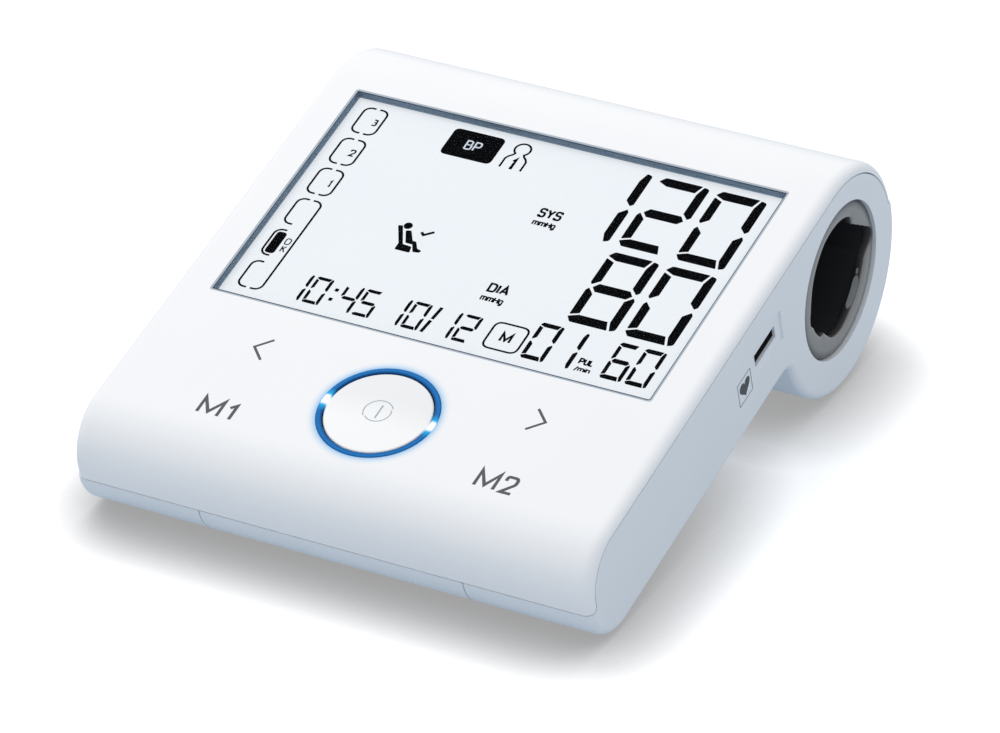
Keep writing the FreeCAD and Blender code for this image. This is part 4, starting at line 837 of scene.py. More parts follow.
# letters and numbers as single lines in a height of 1, each corner as (x, y, radius)
LETTERS: dict[str, tuple[tuple[Corner, ...], ...]] = {
    "1": (((0.0, 0.74, 0), (0.3, 1.0, 0), (0.3, 0.0, 0)),),
    # one with a foot
    "!": (((0.0, 0.78, 0), (0.3, 1.0, 0), (0.3, 0.0, 0)), ((0.0, 0.0, 0), (0.56, 0.0, 0))),
    "2": (((0.0, 0.72, 0), (0.0, 1.0, 0.28), (0.62, 1.0, 0.28), (0.62, 0.6, 0.25),
           (0.02, 0.0, 0), (0.64, 0.0, 0)),),
    "3": (((0.02, 1.0, 0), (0.6, 1.0, 0.22), (0.6, 0.53, 0.22), (0.2, 0.53, 0)),
          ((0.3, 0.53, 0), (0.64, 0.53, 0.25), (0.64, 0.0, 0.25), (0.0, 0.0, 0))),
    "A": (((0.0, 0.0, 0), (0.36, 1.0, 0), (0.72, 0.0, 0)), ((0.13, 0.32, 0), (0.59, 0.32, 0))),
    "B": (((0.0, 0.0, 0), (0.0, 1.0, 0), (0.58, 1.0, 0.22), (0.58, 0.53, 0.22),
           (0.0, 0.53, 0)),
          ((0.3, 0.53, 0), (0.64, 0.53, 0.25), (0.64, 0.0, 0.25), (0.0, 0.0, 0))),
    "D": (((0.0, 0.5, 0), (0.0, 1.0, 0), (0.66, 1.0, 0.36), (0.66, 0.0, 0.36),
           (0.0, 0.0, 0), (0.0, 0.5, 0)),),
    "H": (((0.0, 0.0, 0), (0.0, 1.0, 0)), ((0.62, 0.0, 0), (0.62, 1.0, 0)),
          ((0.0, 0.52, 0), (0.62, 0.52, 0))),
    "I": (((0.0, 0.0, 0), (0.0, 1.0, 0)),),
    "K": (((0.0, 0.0, 0), (0.0, 1.0, 0)), ((0.58, 1.0, 0), (0.04, 0.4, 0)),
          ((0.22, 0.62, 0), (0.64, 0.0, 0))),
    "L": (((0.0, 1.0, 0), (0.0, 0.0, 0), (0.52, 0.0, 0)),),
    "M": (((0.0, 0.0, 0), (0.0, 1.0, 0), (0.42, 0.14, 0), (0.84, 1.0, 0), (0.84, 0.0, 0)),),
    "O": (((0.0, 0.5, 0), (0.0, 1.0, 0.34), (0.7, 1.0, 0.34), (0.7, 0.0, 0.34),
           (0.0, 0.0, 0.34), (0.0, 0.5, 0)),),
    "P": (((0.0, 0.0, 0), (0.0, 1.0, 0), (0.62, 1.0, 0.26), (0.62, 0.45, 0.26),
           (0.0, 0.45, 0)),),
    "S": (((0.6, 0.78, 0), (0.6, 1.0, 0.24), (0.0, 1.0, 0.24), (0.0, 0.53, 0.2),
           (0.62, 0.53, 0.2), (0.62, 0.0, 0.24), (0.0, 0.0, 0.24), (0.0, 0.22, 0)),),
    "U": (((0.0, 1.0, 0), (0.0, 0.0, 0.3), (0.62, 0.0, 0.3), (0.62, 1.0, 0)),),
    "Y": (((0.0, 1.0, 0), (0.33, 0.46, 0), (0.33, 0.0, 0)),
          ((0.66, 1.0, 0), (0.33, 0.46, 0))),
    "g": (((0.48, 0.74, 0), (0.0, 0.74, 0.2), (0.0, 0.0, 0.2), (0.48, 0.0, 0)),
          ((0.48, 0.74, 0), (0.48, -0.28, 0.2), (0.04, -0.28, 0))),
    "i": (((0.0, 0.0, 0), (0.0, 0.74, 0)), ((0.0, 0.9, 0), (0.0, 1.02, 0))),
    "m": (((0.0, 0.0, 0), (0.0, 0.74, 0), (0.42, 0.74, 0.16), (0.42, 0.0, 0)),
          ((0.3, 0.74, 0), (0.84, 0.74, 0.16), (0.84, 0.0, 0))),
    "n": (((0.0, 0.0, 0), (0.0, 0.74, 0), (0.48, 0.74, 0.2), (0.48, 0.0, 0)),),
    "/": (((0.0, -0.12, 0), (0.34, 1.06, 0)),),
}


@dataclass(frozen=True)
class Lettering:
    """A short text of even lines, fitted to a box (u0, v0, u1, v1)."""

    text: str
    box: Box
    line: float
    gap: float = 0.3

    def paths(self) -> list[list[Point]]:
        """Works out the middles of the text's lines, in mm.

        Returns:
            For each line its points.
        """
        paths: list[list[Point]] = []
        left = 0.0
        for letter in self.text:
            corners = [corner for run in LETTERS[letter] for corner in run]
            for run in LETTERS[letter]:
                paths.append([(left + x, y) for x, y in rounded(run)])
            left += max(x for x, _, _ in corners) + self.gap
        xs = [x for path in paths for x, _ in path]
        ys = [y for path in paths for _, y in path]
        u0, v0, u1, v1 = self.box
        across = (u1 - u0 - self.line) / (max(xs) - min(xs))
        up = (v1 - v0 - self.line) / (max(ys) - min(ys))
        return [[(u0 + self.line / 2 + (x - min(xs)) * across,
                  v0 + self.line / 2 + (y - min(ys)) * up) for x, y in path] for path in paths]


class Plates:
    """Collects thin plates on a surface into one mesh."""

    def __init__(self, surface: Surface, base: float, thickness: float) -> None:
        """Starts an empty collection.

        Args:
            surface: Turns (across, up, height) in mm into a place.
            base: Height of the plates' underside, in mm.
            thickness: Their thickness, in mm.
        """
        self.surface = surface
        self.base = base
        self.top = base + thickness
        self.mesh = bmesh.new()

    def _ring(self, outline: Outline, height: float) -> list[bmesh.types.BMVert]:
        """Adds an outline's points at a height and returns their vertices."""
        return [self.mesh.verts.new(self.surface(x, y, height)) for x, y in outline]

    def plate(self, outline: Outline) -> None:
        """Adds a plate with a closed outline.

        Args:
            outline: Its outline, run either way.
        """
        points = list(outline) if twice_area(outline) > 0 else list(outline)[::-1]
        low, high = self._ring(points, self.base), self._ring(points, self.top)
        self.mesh.faces.new(high)
        self.mesh.faces.new(low[::-1])
        for index in range(len(points)):
            after = (index + 1) % len(points)
            self.mesh.faces.new((low[index], low[after], high[after], high[index]))

    def band(self, inner: Outline, outer: Outline) -> None:
        """Adds a closed band between two outlines of as many points, both anticlockwise.

        Args:
            inner: The inner outline.
            outer: The outer one.
        """
        rings = [self._ring(inner, self.base), self._ring(inner, self.top),
                 self._ring(outer, self.top), self._ring(outer, self.base)]
        count = len(inner)
        for first, second in zip(rings, [*rings[1:], rings[0]]):
            for index in range(count):
                after = (index + 1) % count
                self.mesh.faces.new((first[index], second[index], second[after], first[after]))

    def line(self, path: Outline, width: float) -> None:
        """Adds a line of even width, open or closed.

        Args:
            path: The line's middle.
            width: Its width.
        """
        left, right = edges(path, width)
        if len(left) == len(path):
            self.plate(left + right[::-1])
        elif twice_area(path) > 0:
            self.band(left, right)
        else:
            self.band(right[::-1], left[::-1])

    def letters(self, lettering: Lettering) -> None:
        """Adds a text."""
        for path in lettering.paths():
            self.line(path, lettering.line)

    def finish(self, name: str, ink: Finish) -> bpy.types.Object:
        """Turns the collection into an object.

        Args:
            name: The object's name.
            ink: Its finish.

        Returns:
            The new object.
        """
        bmesh.ops.remove_doubles(self.mesh, verts=self.mesh.verts, dist=WELD / 10)
        return object_from(self.mesh, name, ink)


def swept(sections: Sequence[Sequence[Vector]], closed: bool,
          into: bmesh.types.BMesh | None = None) -> bmesh.types.BMesh:
    """Joins closed sections of as many points into one solid.

    Args:
        sections: The sections in order.
        closed: Whether the last section joins the first; otherwise both ends get a cap.
        into: The mesh that gets the solid; a new one is made if there is none.

    Returns:
        The mesh.
    """
    solid = into or bmesh.new()
    rings = [[solid.verts.new(place) for place in section] for section in sections]
    faces = []
    for ring, after in zip(rings, [*rings[1:], rings[0]] if closed else rings[1:]):
        for index, vertex in enumerate(ring):
            beside = (index + 1) % len(ring)
            faces.append(solid.faces.new((vertex, ring[beside], after[beside], after[index])))
    if not closed:
        faces += [solid.faces.new(rings[0][::-1]), solid.faces.new(rings[-1])]
    bmesh.ops.recalc_face_normals(solid, faces=faces)
    return solid


def object_from(source: bmesh.types.BMesh, name: str, finish: Finish,
                smooth: bool = False) -> bpy.types.Object:
    """Makes an object from a bmesh, which is freed.

    Args:
        source: The geometry, in metres in the row's frame.
        name: The object's name.
        finish: Its finish.
        smooth: Whether its faces are shaded smooth.

    Returns:
        The new object.
    """
    mesh = bpy.data.meshes.new(name)
    for face in source.faces:
        face.smooth = smooth
    source.to_mesh(mesh)
    source.free()
    mesh.materials.append(finish.material())
    piece = bpy.data.objects.new(name, mesh)
    bpy.context.scene.collection.objects.link(piece)
    return piece


def dress(node: str, finish: Finish) -> None:
    """Gives a node of the frame its finish.

    Args:
        node: The node's name.
        finish: Its finish.
    """
    materials = frame["nodes"][node].data.materials
    materials.clear()
    materials.append(finish.material())
    LOG.info("%s: %s", node, finish.name)


def settle(piece: bpy.types.Object, body: Body, slot: Slot, *replaced: str) -> bpy.types.Object:
    """Lets a new piece ride on its body, and hides the nodes of the frame that it stands for.

    Args:
        piece: The finished piece.
        body: The body it rides on.
        slot: The record's slot of its finish; not used.
        *replaced: Nodes of the frame that it stands for.

    Returns:
        The piece.
    """
    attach(piece, body.value)
    if replaced:
        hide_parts(*replaced)
    LOG.info("%s: %d faces on %s", piece.name, len(piece.data.polygons), body.value)
    return piece


# ---- Repeated pieces by geometry nodes -------------------------------------------------------


@dataclass
class NodeRepeat:
    """A geometry node tree that sets one shape on each point of a cloud, turned as it says.

    Its named inputs are lengths, given here in mm, and plain counts.
    """

    name: str
    lengths: dict[str, float]
    counts: dict[str, float] = field(default_factory=dict)

    def __post_init__(self) -> None:
        """Starts the tree with its named inputs."""
        self.tree = bpy.data.node_groups.new(self.name, "GeometryNodeTree")
        face = self.tree.interface
        face.new_socket("Points", in_out="INPUT", socket_type="NodeSocketGeometry")
        values = {**{key: size * MM for key, size in self.lengths.items()}, **self.counts}
        self.values = {
            face.new_socket(key, in_out="INPUT", socket_type="NodeSocketFloat").identifier: value
            for key, value in values.items()}
        self.coat = face.new_socket("Finish", in_out="INPUT", socket_type="NodeSocketMaterial")
        face.new_socket("Pieces", in_out="OUTPUT", socket_type="NodeSocketGeometry")
        self.inputs = dict(add_node(self.tree, "NodeGroupInput").items())

    def raised(self, shape: Socket, height: Socket) -> Socket:
        """Adds a shape's move along Z.

        Args:
            shape: The shape.
            height: The socket of the way up.

        Returns:
            The moved shape's socket.
        """
        lift = add_node(self.tree, "ShaderNodeCombineXYZ", {"Z": height})[0]
        return add_node(self.tree, "GeometryNodeTransform",
                        {"Geometry": shape, "Translation": lift})[0]

    def wound_wire(self, *names: str, steps: int, sides: int) -> Socket:
        """Adds a round wire that winds up a cone or a cylinder.

        Args:
            *names: The names of its turns, its first and its last radius, its height and the
                wire's own radius, among the inputs.
            steps: Number of its sections on each turn.
            sides: Number of its section's corners.

        Returns:
            The wire.
        """
        turns, first_r, last_r, height, wire_r = (self.inputs[name] for name in names)
        line = add_node(self.tree, "GeometryNodeCurveSpiral",
                        {"Resolution": steps, "Rotations": turns, "Start Radius": first_r,
                         "End Radius": last_r, "Height": height})[0]
        ring = add_node(self.tree, "GeometryNodeCurvePrimitiveCircle",
                        {"Resolution": sides, "Radius": wire_r}, mode="RADIUS")[0]
        return add_node(self.tree, "GeometryNodeCurveToMesh",
                        {"Curve": line, "Profile Curve": ring, "Fill Caps": True})[0]

    def close(self, shape: Socket) -> None:
        """Ends the tree: the shape on every point, turned by the point's own angles.

        Args:
            shape: The shape.
        """
        angles = add_node(self.tree, "GeometryNodeInputNamedAttribute", {"Name": "turn"},
                          data_type="FLOAT_VECTOR")["Attribute"]
        turn = add_node(self.tree, "FunctionNodeEulerToRotation", {0: angles})[0]
        placed = add_node(self.tree, "GeometryNodeInstanceOnPoints",
                          {"Points": self.inputs["Points"], "Instance": shape,
                           "Rotation": turn})["Instances"]
        real = add_node(self.tree, "GeometryNodeRealizeInstances", {0: placed})[0]
        coated = add_node(self.tree, "GeometryNodeSetMaterial",
                          {"Geometry": real, "Material": self.inputs["Finish"]})[0]
        add_node(self.tree, "NodeGroupOutput", {0: coated})

    def build(self, name: str, spots: Sequence[tuple[Vector, Vector]],
              finish: Finish) -> bpy.types.Object:
        """Runs the tree on points and returns the plain result.

        Args:
            name: The new object's name.
            spots: For each copy, its place and its turn as Euler angles.
            finish: The copies' finish.

        Returns:
            An object with one plain mesh.
        """
        cloud = bpy.data.meshes.new(f"{name}_points")
        cloud.from_pydata([spot[0] for spot in spots], [], [])
        turns = cloud.attributes.new("turn", "FLOAT_VECTOR", "POINT")
        turns.data.foreach_set("vector", [angle for spot in spots for angle in spot[1]])
        holder = bpy.data.objects.new(f"{name}_holder", cloud)
        bpy.context.scene.collection.objects.link(holder)
        modifier = holder.modifiers.new("repeat", "NODES")
        modifier.node_group = self.tree
        for identifier, value in self.values.items():
            modifier[identifier] = value
        modifier[self.coat.identifier] = finish.material()
        graph = bpy.context.evaluated_depsgraph_get()
        mesh = bpy.data.meshes.new_from_object(holder.evaluated_get(graph), depsgraph=graph)
        bpy.data.objects.remove(holder)
        mesh.name = name
        piece = bpy.data.objects.new(name, mesh)
        bpy.context.scene.collection.objects.link(piece)
        return piece


@dataclass(frozen=True)
class CoilSizes:
    """A conical coil spring in mm that stands on its first turn along +Z."""

    wire_r: float
    foot_r: float
    head_r: float
    height: float
    turns: float

    def tree(self) -> NodeRepeat:
        """Draws the tree of the spring, with these sizes as its named inputs.

        Returns:
            The tree.
        """
        repeat = NodeRepeat("coil_spring", {
            "Wire radius": self.wire_r, "Foot radius": self.foot_r, "Head radius": self.head_r,
            "Height": self.height,
        }, {"Turns": self.turns})
        wire = repeat.wound_wire("Turns", "Foot radius", "Head radius", "Height",
                                 "Wire radius", steps=28, sides=10)
        repeat.close(add_node(repeat.tree, "GeometryNodeSetShadeSmooth", {"Geometry": wire})[0])
        return repeat


@dataclass(frozen=True)
class ScrewSizes:
    """A pan-head screw in mm: its head hangs below the point and its shank stands above.

    The shares are those of the head's radius, for its face and for the two sides of its cross
    recess, of the head's height, for the recess's cutter, and of the shank, for its thread.
    """

    head_r: float
    head_t: float
    shank_r: float
    shank_l: float
    pitch: float = 0.8
    ridge_r: float = 0.12
    face_share: float = 0.7
    recess_shares: Point = (1.1, 0.22)
    cutter_share: float = 1.1
    thread_share: float = 0.9
    sides: int = 32

    def tree(self) -> NodeRepeat:
        """Draws the tree of the screw, with these sizes as its named inputs.

        Returns:
            The tree.
        """
        repeat = NodeRepeat("pan_head_screw", {
            "Head radius": self.head_r, "Head height": self.head_t,
            "Shank radius": self.shank_r, "Shank length": self.shank_l,
            "Thread pitch": self.pitch, "Ridge radius": self.ridge_r,
        })
        given = repeat.inputs
        for name, operation, first, second in (
            ("half head", "MULTIPLY", "Head height", 0.5),
            ("drum middle", "MULTIPLY", "half head", -0.5),
            ("face radius", "MULTIPLY", "Head radius", self.face_share),
            ("face", "MULTIPLY", "Head height", -1.0),
            ("recess length", "MULTIPLY", "Head radius", self.recess_shares[0]),
            ("recess width", "MULTIPLY", "Head radius", self.recess_shares[1]),
            ("cutter depth", "MULTIPLY", "Head height", self.cutter_share),
            ("core radius", "SUBTRACT", "Shank radius", "Ridge radius"),
            ("shank middle", "MULTIPLY", "Shank length", 0.5),
            ("thread rise", "MULTIPLY", "Shank length", self.thread_share),
            ("thread turns", "DIVIDE", "thread rise", "Thread pitch"),
            ("thread foot", "MULTIPLY", "Shank length", (1 - self.thread_share) / 2),
        ):
            given[name] = add_node(repeat.tree, "ShaderNodeMath",
                                   {0: given[first], 1: given.get(second, second)},
                                   operation=operation)["Value"]
        shank = add_node(repeat.tree, "GeometryNodeMeshCylinder",
                         {"Vertices": self.sides, "Radius": given["core radius"],
                          "Depth": given["Shank length"]})["Mesh"]
        thread = repeat.wound_wire("thread turns", "core radius", "core radius", "thread rise",
                                   "Ridge radius", steps=18, sides=6)
        repeat.close(add_node(repeat.tree, "GeometryNodeJoinGeometry", {0: [
            repeat.raised(thread, given["thread foot"]),
            repeat.raised(shank, given["shank middle"]),
            self.head(repeat),
        ]})[0])
        return repeat

    def head(self, repeat: NodeRepeat) -> Socket:
        """Draws the head: a drum with a low dome, and the cross recess cut into it.

        Args:
            repeat: The screw's tree.

        Returns:
            The head's socket.
        """
        tree, given = repeat.tree, repeat.inputs
        drum = add_node(tree, "GeometryNodeMeshCylinder",
                        {"Vertices": self.sides, "Radius": given["Head radius"],
                         "Depth": given["half head"]})["Mesh"]
        dome = add_node(tree, "GeometryNodeMeshCone",
                        {"Vertices": self.sides, "Radius Top": given["Head radius"],
                         "Radius Bottom": given["face radius"],
                         "Depth": given["half head"]})["Mesh"]
        blank = add_node(tree, "GeometryNodeJoinGeometry", {0: [
            repeat.raised(dome, given["face"]), repeat.raised(drum, given["drum middle"])]})[0]
        blank = add_node(tree, "GeometryNodeMeshBoolean", {"Mesh 2": blank},
                         operation="UNION")["Mesh"]
        bars = []
        for across, along in (("recess width", "recess length"),
                              ("recess length", "recess width")):
            size = add_node(tree, "ShaderNodeCombineXYZ",
                            {"X": given[across], "Y": given[along],
                             "Z": given["cutter depth"]})[0]
            bar = add_node(tree, "GeometryNodeMeshCube", {"Size": size})["Mesh"]
            bars.append(repeat.raised(bar, given["face"]))
        recess = add_node(tree, "GeometryNodeJoinGeometry", {0: bars})[0]
        return add_node(tree, "GeometryNodeMeshBoolean", {"Mesh 1": blank, "Mesh 2": recess},
                        operation="DIFFERENCE")["Mesh"]


def islands(node: str) -> list[tuple[Vector, Vector]]:
    """Finds the separate solids of a node.

    Args:
        node: The node's name.

    Returns:
        The lowest and highest corners of each solid, in metres, sorted by place.
    """
    solid = bmesh.new()
    solid.from_mesh(frame["nodes"][node].data)
    bmesh.ops.remove_doubles(solid, verts=solid.verts, dist=WELD)
    left = set(solid.verts)
    found = []
    while left:
        wave = [left.pop()]
        group = []
        while wave:
            vertex = wave.pop()
            group.append(vertex.co.copy())
            for edge in vertex.link_edges:
                other = edge.other_vert(vertex)
                if other in left:
                    left.remove(other)
                    wave.append(other)
        found.append((Vector(min(co[axis] for co in group) for axis in range(3)),
                      Vector(max(co[axis] for co in group) for axis in range(3))))
    solid.free()
    return sorted(found, key=lambda pair: tuple(round(value, 5) for value in pair[0]))


# ---- The sub-assemblies ----------------------------------------------------------------------

INKS = {
    # liquid crystal in its dark state: near black with no gloss of its own
    Print.SEGMENT: Ink(Print.SEGMENT.value, "#0A0A0C", "#0F0F11", 0.7),
    # the pale panel showing through a dark segment
    Print.KNOCKOUT: Ink(Print.KNOCKOUT.value, "#EDF2FA", "#E6ECF5", 0.6),
    # pad-printed ink: flat warm grey
    Print.SHELL_GREY: Ink(Print.SHELL_GREY.value, "#5E6165", "#66696D", 0.55),
    # screen-printed edge of the lens: dark slate, dull
    Print.SLATE: Ink(Print.SLATE.value, "#3D4B5A", "#465463", 0.6),
    # painted shade of a fine moulded groove, drawn as thin blue grey lines
    Print.GROOVE_SHADE: Ink(Print.GROOVE_SHADE.value, "#A3AEBA", "#B4BEC9", 0.5),
}


@dataclass
class Shells:
    """The white shells with the battery door, the rubber feet and the prints on them."""

    slab: SlabFrame
    half_w: float = 69.65
    key_v: float = -63.3
    ring_r: float = 15.0
    # how deep the ink starts under the surface, and its whole thickness
    print_sink: float = 0.03
    print_t: float = 0.042
    mark_line: float = 0.68
    memory_names: tuple[Lettering, ...] = (
        Lettering("M", (-42.4, -77.7, -36.2, -71.75), 0.88),
        Lettering("1", (-35.1, -77.7, -32.8, -72.0), 0.88),
        Lettering("M", (32.2, -77.6, 38.0, -71.6), 0.88),
        Lettering("2", (39.0, -77.6, 42.75, -71.6), 0.88),
    )
    arrow_tip: Point = (39.4, -53.0)
    arrow_tail: float = 3.6
    arrow_half: float = 3.6
    heart_box: Box = (-14.7, -20.5, -8.0, -13.9)
    heart_line: float = 0.22
    heart_size: float = 5.5

    def __post_init__(self) -> None:
        """Chooses the two whites."""
        ring_axis = self.slab.at(0.0, self.key_v, 0.0)
        # moulded ABS from a polished tool: an even soft gloss with a trace of orange peel, and a
        #         painted blue glow round the ring
        self.gloss = PaintedGlowGloss("abs_gloss_white_with_painted_ring_glow", "#F6F8FA", "#F3F5F8", 0.3,
                               ring_r_mm=self.ring_r, axis_at=tuple(ring_axis),
                               tilt=self.slab.tilt)
        # the same ABS from a finely eroded tool: duller, and a little cooler and darker, which
        # partly
        #         paints the cool shade on the housing
        self.satin_shaded = Moulded("abs_satin_white", "#EDF1F5", "#E8EDF2", 0.42, relief=0.06)
        # silicone rubber: dull grey with a dusty bloom
        self.rubber = Moulded("silicone_rubber_grey", "#8C9196", "#7D8287", 0.8, relief=0.2)

    def build(self) -> None:
        """Dresses the shells and prints their marks."""
        dress("upper_cover", self.gloss)
        dress("lower_housing", self.satin_shaded)
        dress("battery_door", self.satin_shaded)
        dress("rubber_feet", self.rubber)
        self.print_key_marks()
        self.print_heart()

    def print_key_marks(self) -> None:
        """Prints the two memory names and the two arrows of the touch keys."""
        marks = Plates(self.slab.at, -self.print_sink, self.print_t)
        for name in self.memory_names:
            marks.letters(name)
        tip_u, tip_v = self.arrow_tip
        for sign in (-1, 1):
            tail_u = sign * (tip_u - self.arrow_tail)
            path = [(tail_u, tip_v + self.arrow_half), (sign * tip_u, tip_v),
                    (tail_u, tip_v - self.arrow_half)]
            marks.line(path, self.mark_line)
        settle(marks.finish("touch_key_marks", INKS[Print.SHELL_GREY]), Body.ROOT,
               Slot.GLOSS_WHITE)

    def print_heart(self) -> None:
        """Prints the heart in its thin square beside the plug slot."""
        marks = Plates(self.slab.on_right_side(self.half_w), -self.print_sink, self.print_t)
        v0, w0, v1, w1 = self.heart_box
        line = self.heart_line
        inner = [(v0, w0), (v1, w0), (v1, w1), (v0, w1)]
        outer = [(v0 - line, w0 - line), (v1 + line, w0 - line), (v1 + line, w1 + line),
                 (v0 - line, w1 + line)]
        marks.band(inner, outer)
        middle = ((v0 + v1) / 2, (w0 + w1) / 2)
        marks.plate(self.heart_outline(middle))
        settle(marks.finish("heart_mark", INKS[Print.SHELL_GREY]), Body.ROOT, Slot.SATIN_WHITE)

    def heart_outline(self, middle: Point, steps: int = 40) -> list[Point]:
        """Works out a plain heart from its usual curve, which is 32 wide.

        Args:
            middle: Its middle.
            steps: Number of its points.

        Returns:
            The outline.
        """
        scale = self.heart_size / 32
        angles = [math.tau * step / steps for step in range(steps)]
        return [(middle[0] + scale * 16 * math.sin(a) ** 3,
                 middle[1] + scale * (13 * math.cos(a) - 5 * math.cos(2 * a)
                                      - 2 * math.cos(3 * a) - math.cos(4 * a) + 1.5))
                for a in angles]


@dataclass(frozen=True)
class SevenSegment:
    """The display's digits: seven bars with pointed and rounded ends in one cell, in mm."""

    width: float = 13.4
    height: float = 25.6

    # outlines from the cell's top left corner, y down as negative, as (x, y, radius)
    BARS = {
        "a": ((0.1, -1.65, 0.3), (1.35, 0.0, 0.8), (11.35, 0.0, 0.2), (10.3, -2.8, 0.0),
              (2.6, -2.8, 0.2)),
        "b": ((11.8, -0.2, 0.3), (13.4, -0.5, 1.0), (13.4, -11.3, 0.4), (12.65, -12.1, 0.2),
              (10.95, -10.4, 0.2), (10.95, -3.2, 0.0)),
        "c": ((12.75, -13.3, 0.2), (13.4, -14.3, 0.3), (13.4, -25.0, 1.0),
              (12.0, -25.6, 0.2), (11.0, -22.8, 0.0), (11.0, -15.2, 0.2)),
        "d": ((0.1, -23.9, 0.2), (1.35, -25.6, 0.8), (11.35, -25.6, 0.2), (10.3, -22.75, 0.0),
              (2.6, -22.75, 0.2)),
        "e": ((0.7, -13.3, 0.2), (2.5, -15.2, 0.2), (2.5, -22.2, 0.0), (0.2, -23.2, 0.3),
              (0.15, -14.3, 0.3)),
        "f": ((0.2, -2.5, 0.2), (2.5, -3.5, 0.0), (2.5, -10.4, 0.2), (0.65, -12.1, 0.2),
              (0.15, -11.3, 0.3)),
        "g": ((1.4, -12.9, 0.2), (2.6, -11.4, 0.2), (10.9, -11.4, 0.2), (12.1, -12.9, 0.2),
              (10.9, -14.3, 0.2), (2.6, -14.3, 0.2)),
    }
    DIGITS = {
        "0": "abcdef", "1": "bc", "2": "abged", "4": "bcfg", "5": "acdfg", "6": "acdefg",
        "8": "abcdefg",
    }

    def draw(self, plates: Plates, digit: str, left: float, top: float, high: float,
             wide: float) -> None:
        """Adds one digit.

        Args:
            plates: The collection that gets its bars.
            digit: The digit.
            left: The cell's left edge.
            top: The cell's top edge.
            high: The cell's height.
            wide: The cell's width.
        """
        across, up = wide / self.width, high / self.height
        for bar in self.DIGITS[digit]:
            corners = [(left + x * across, top + y * up, radius * up)
                       for x, y, radius in self.BARS[bar]]
            plates.plate(rounded(corners, steps=4))


@dataclass(frozen=True)
class DigitRow:
    """A row of equal digits: its text, first cell's left edge, top, cell height, width, pitch."""

    text: str
    left: float
    top: float
    high: float
    wide: float
    pitch: float

    def draw(self, plates: Plates) -> None:
        """Adds the row's digits.

        Args:
            plates: The collection that gets them.
        """
        segments = SevenSegment()
        for place, digit in enumerate(self.text):
            segments.draw(plates, digit, self.left + self.pitch * place, self.top, self.high,
                          self.wide)


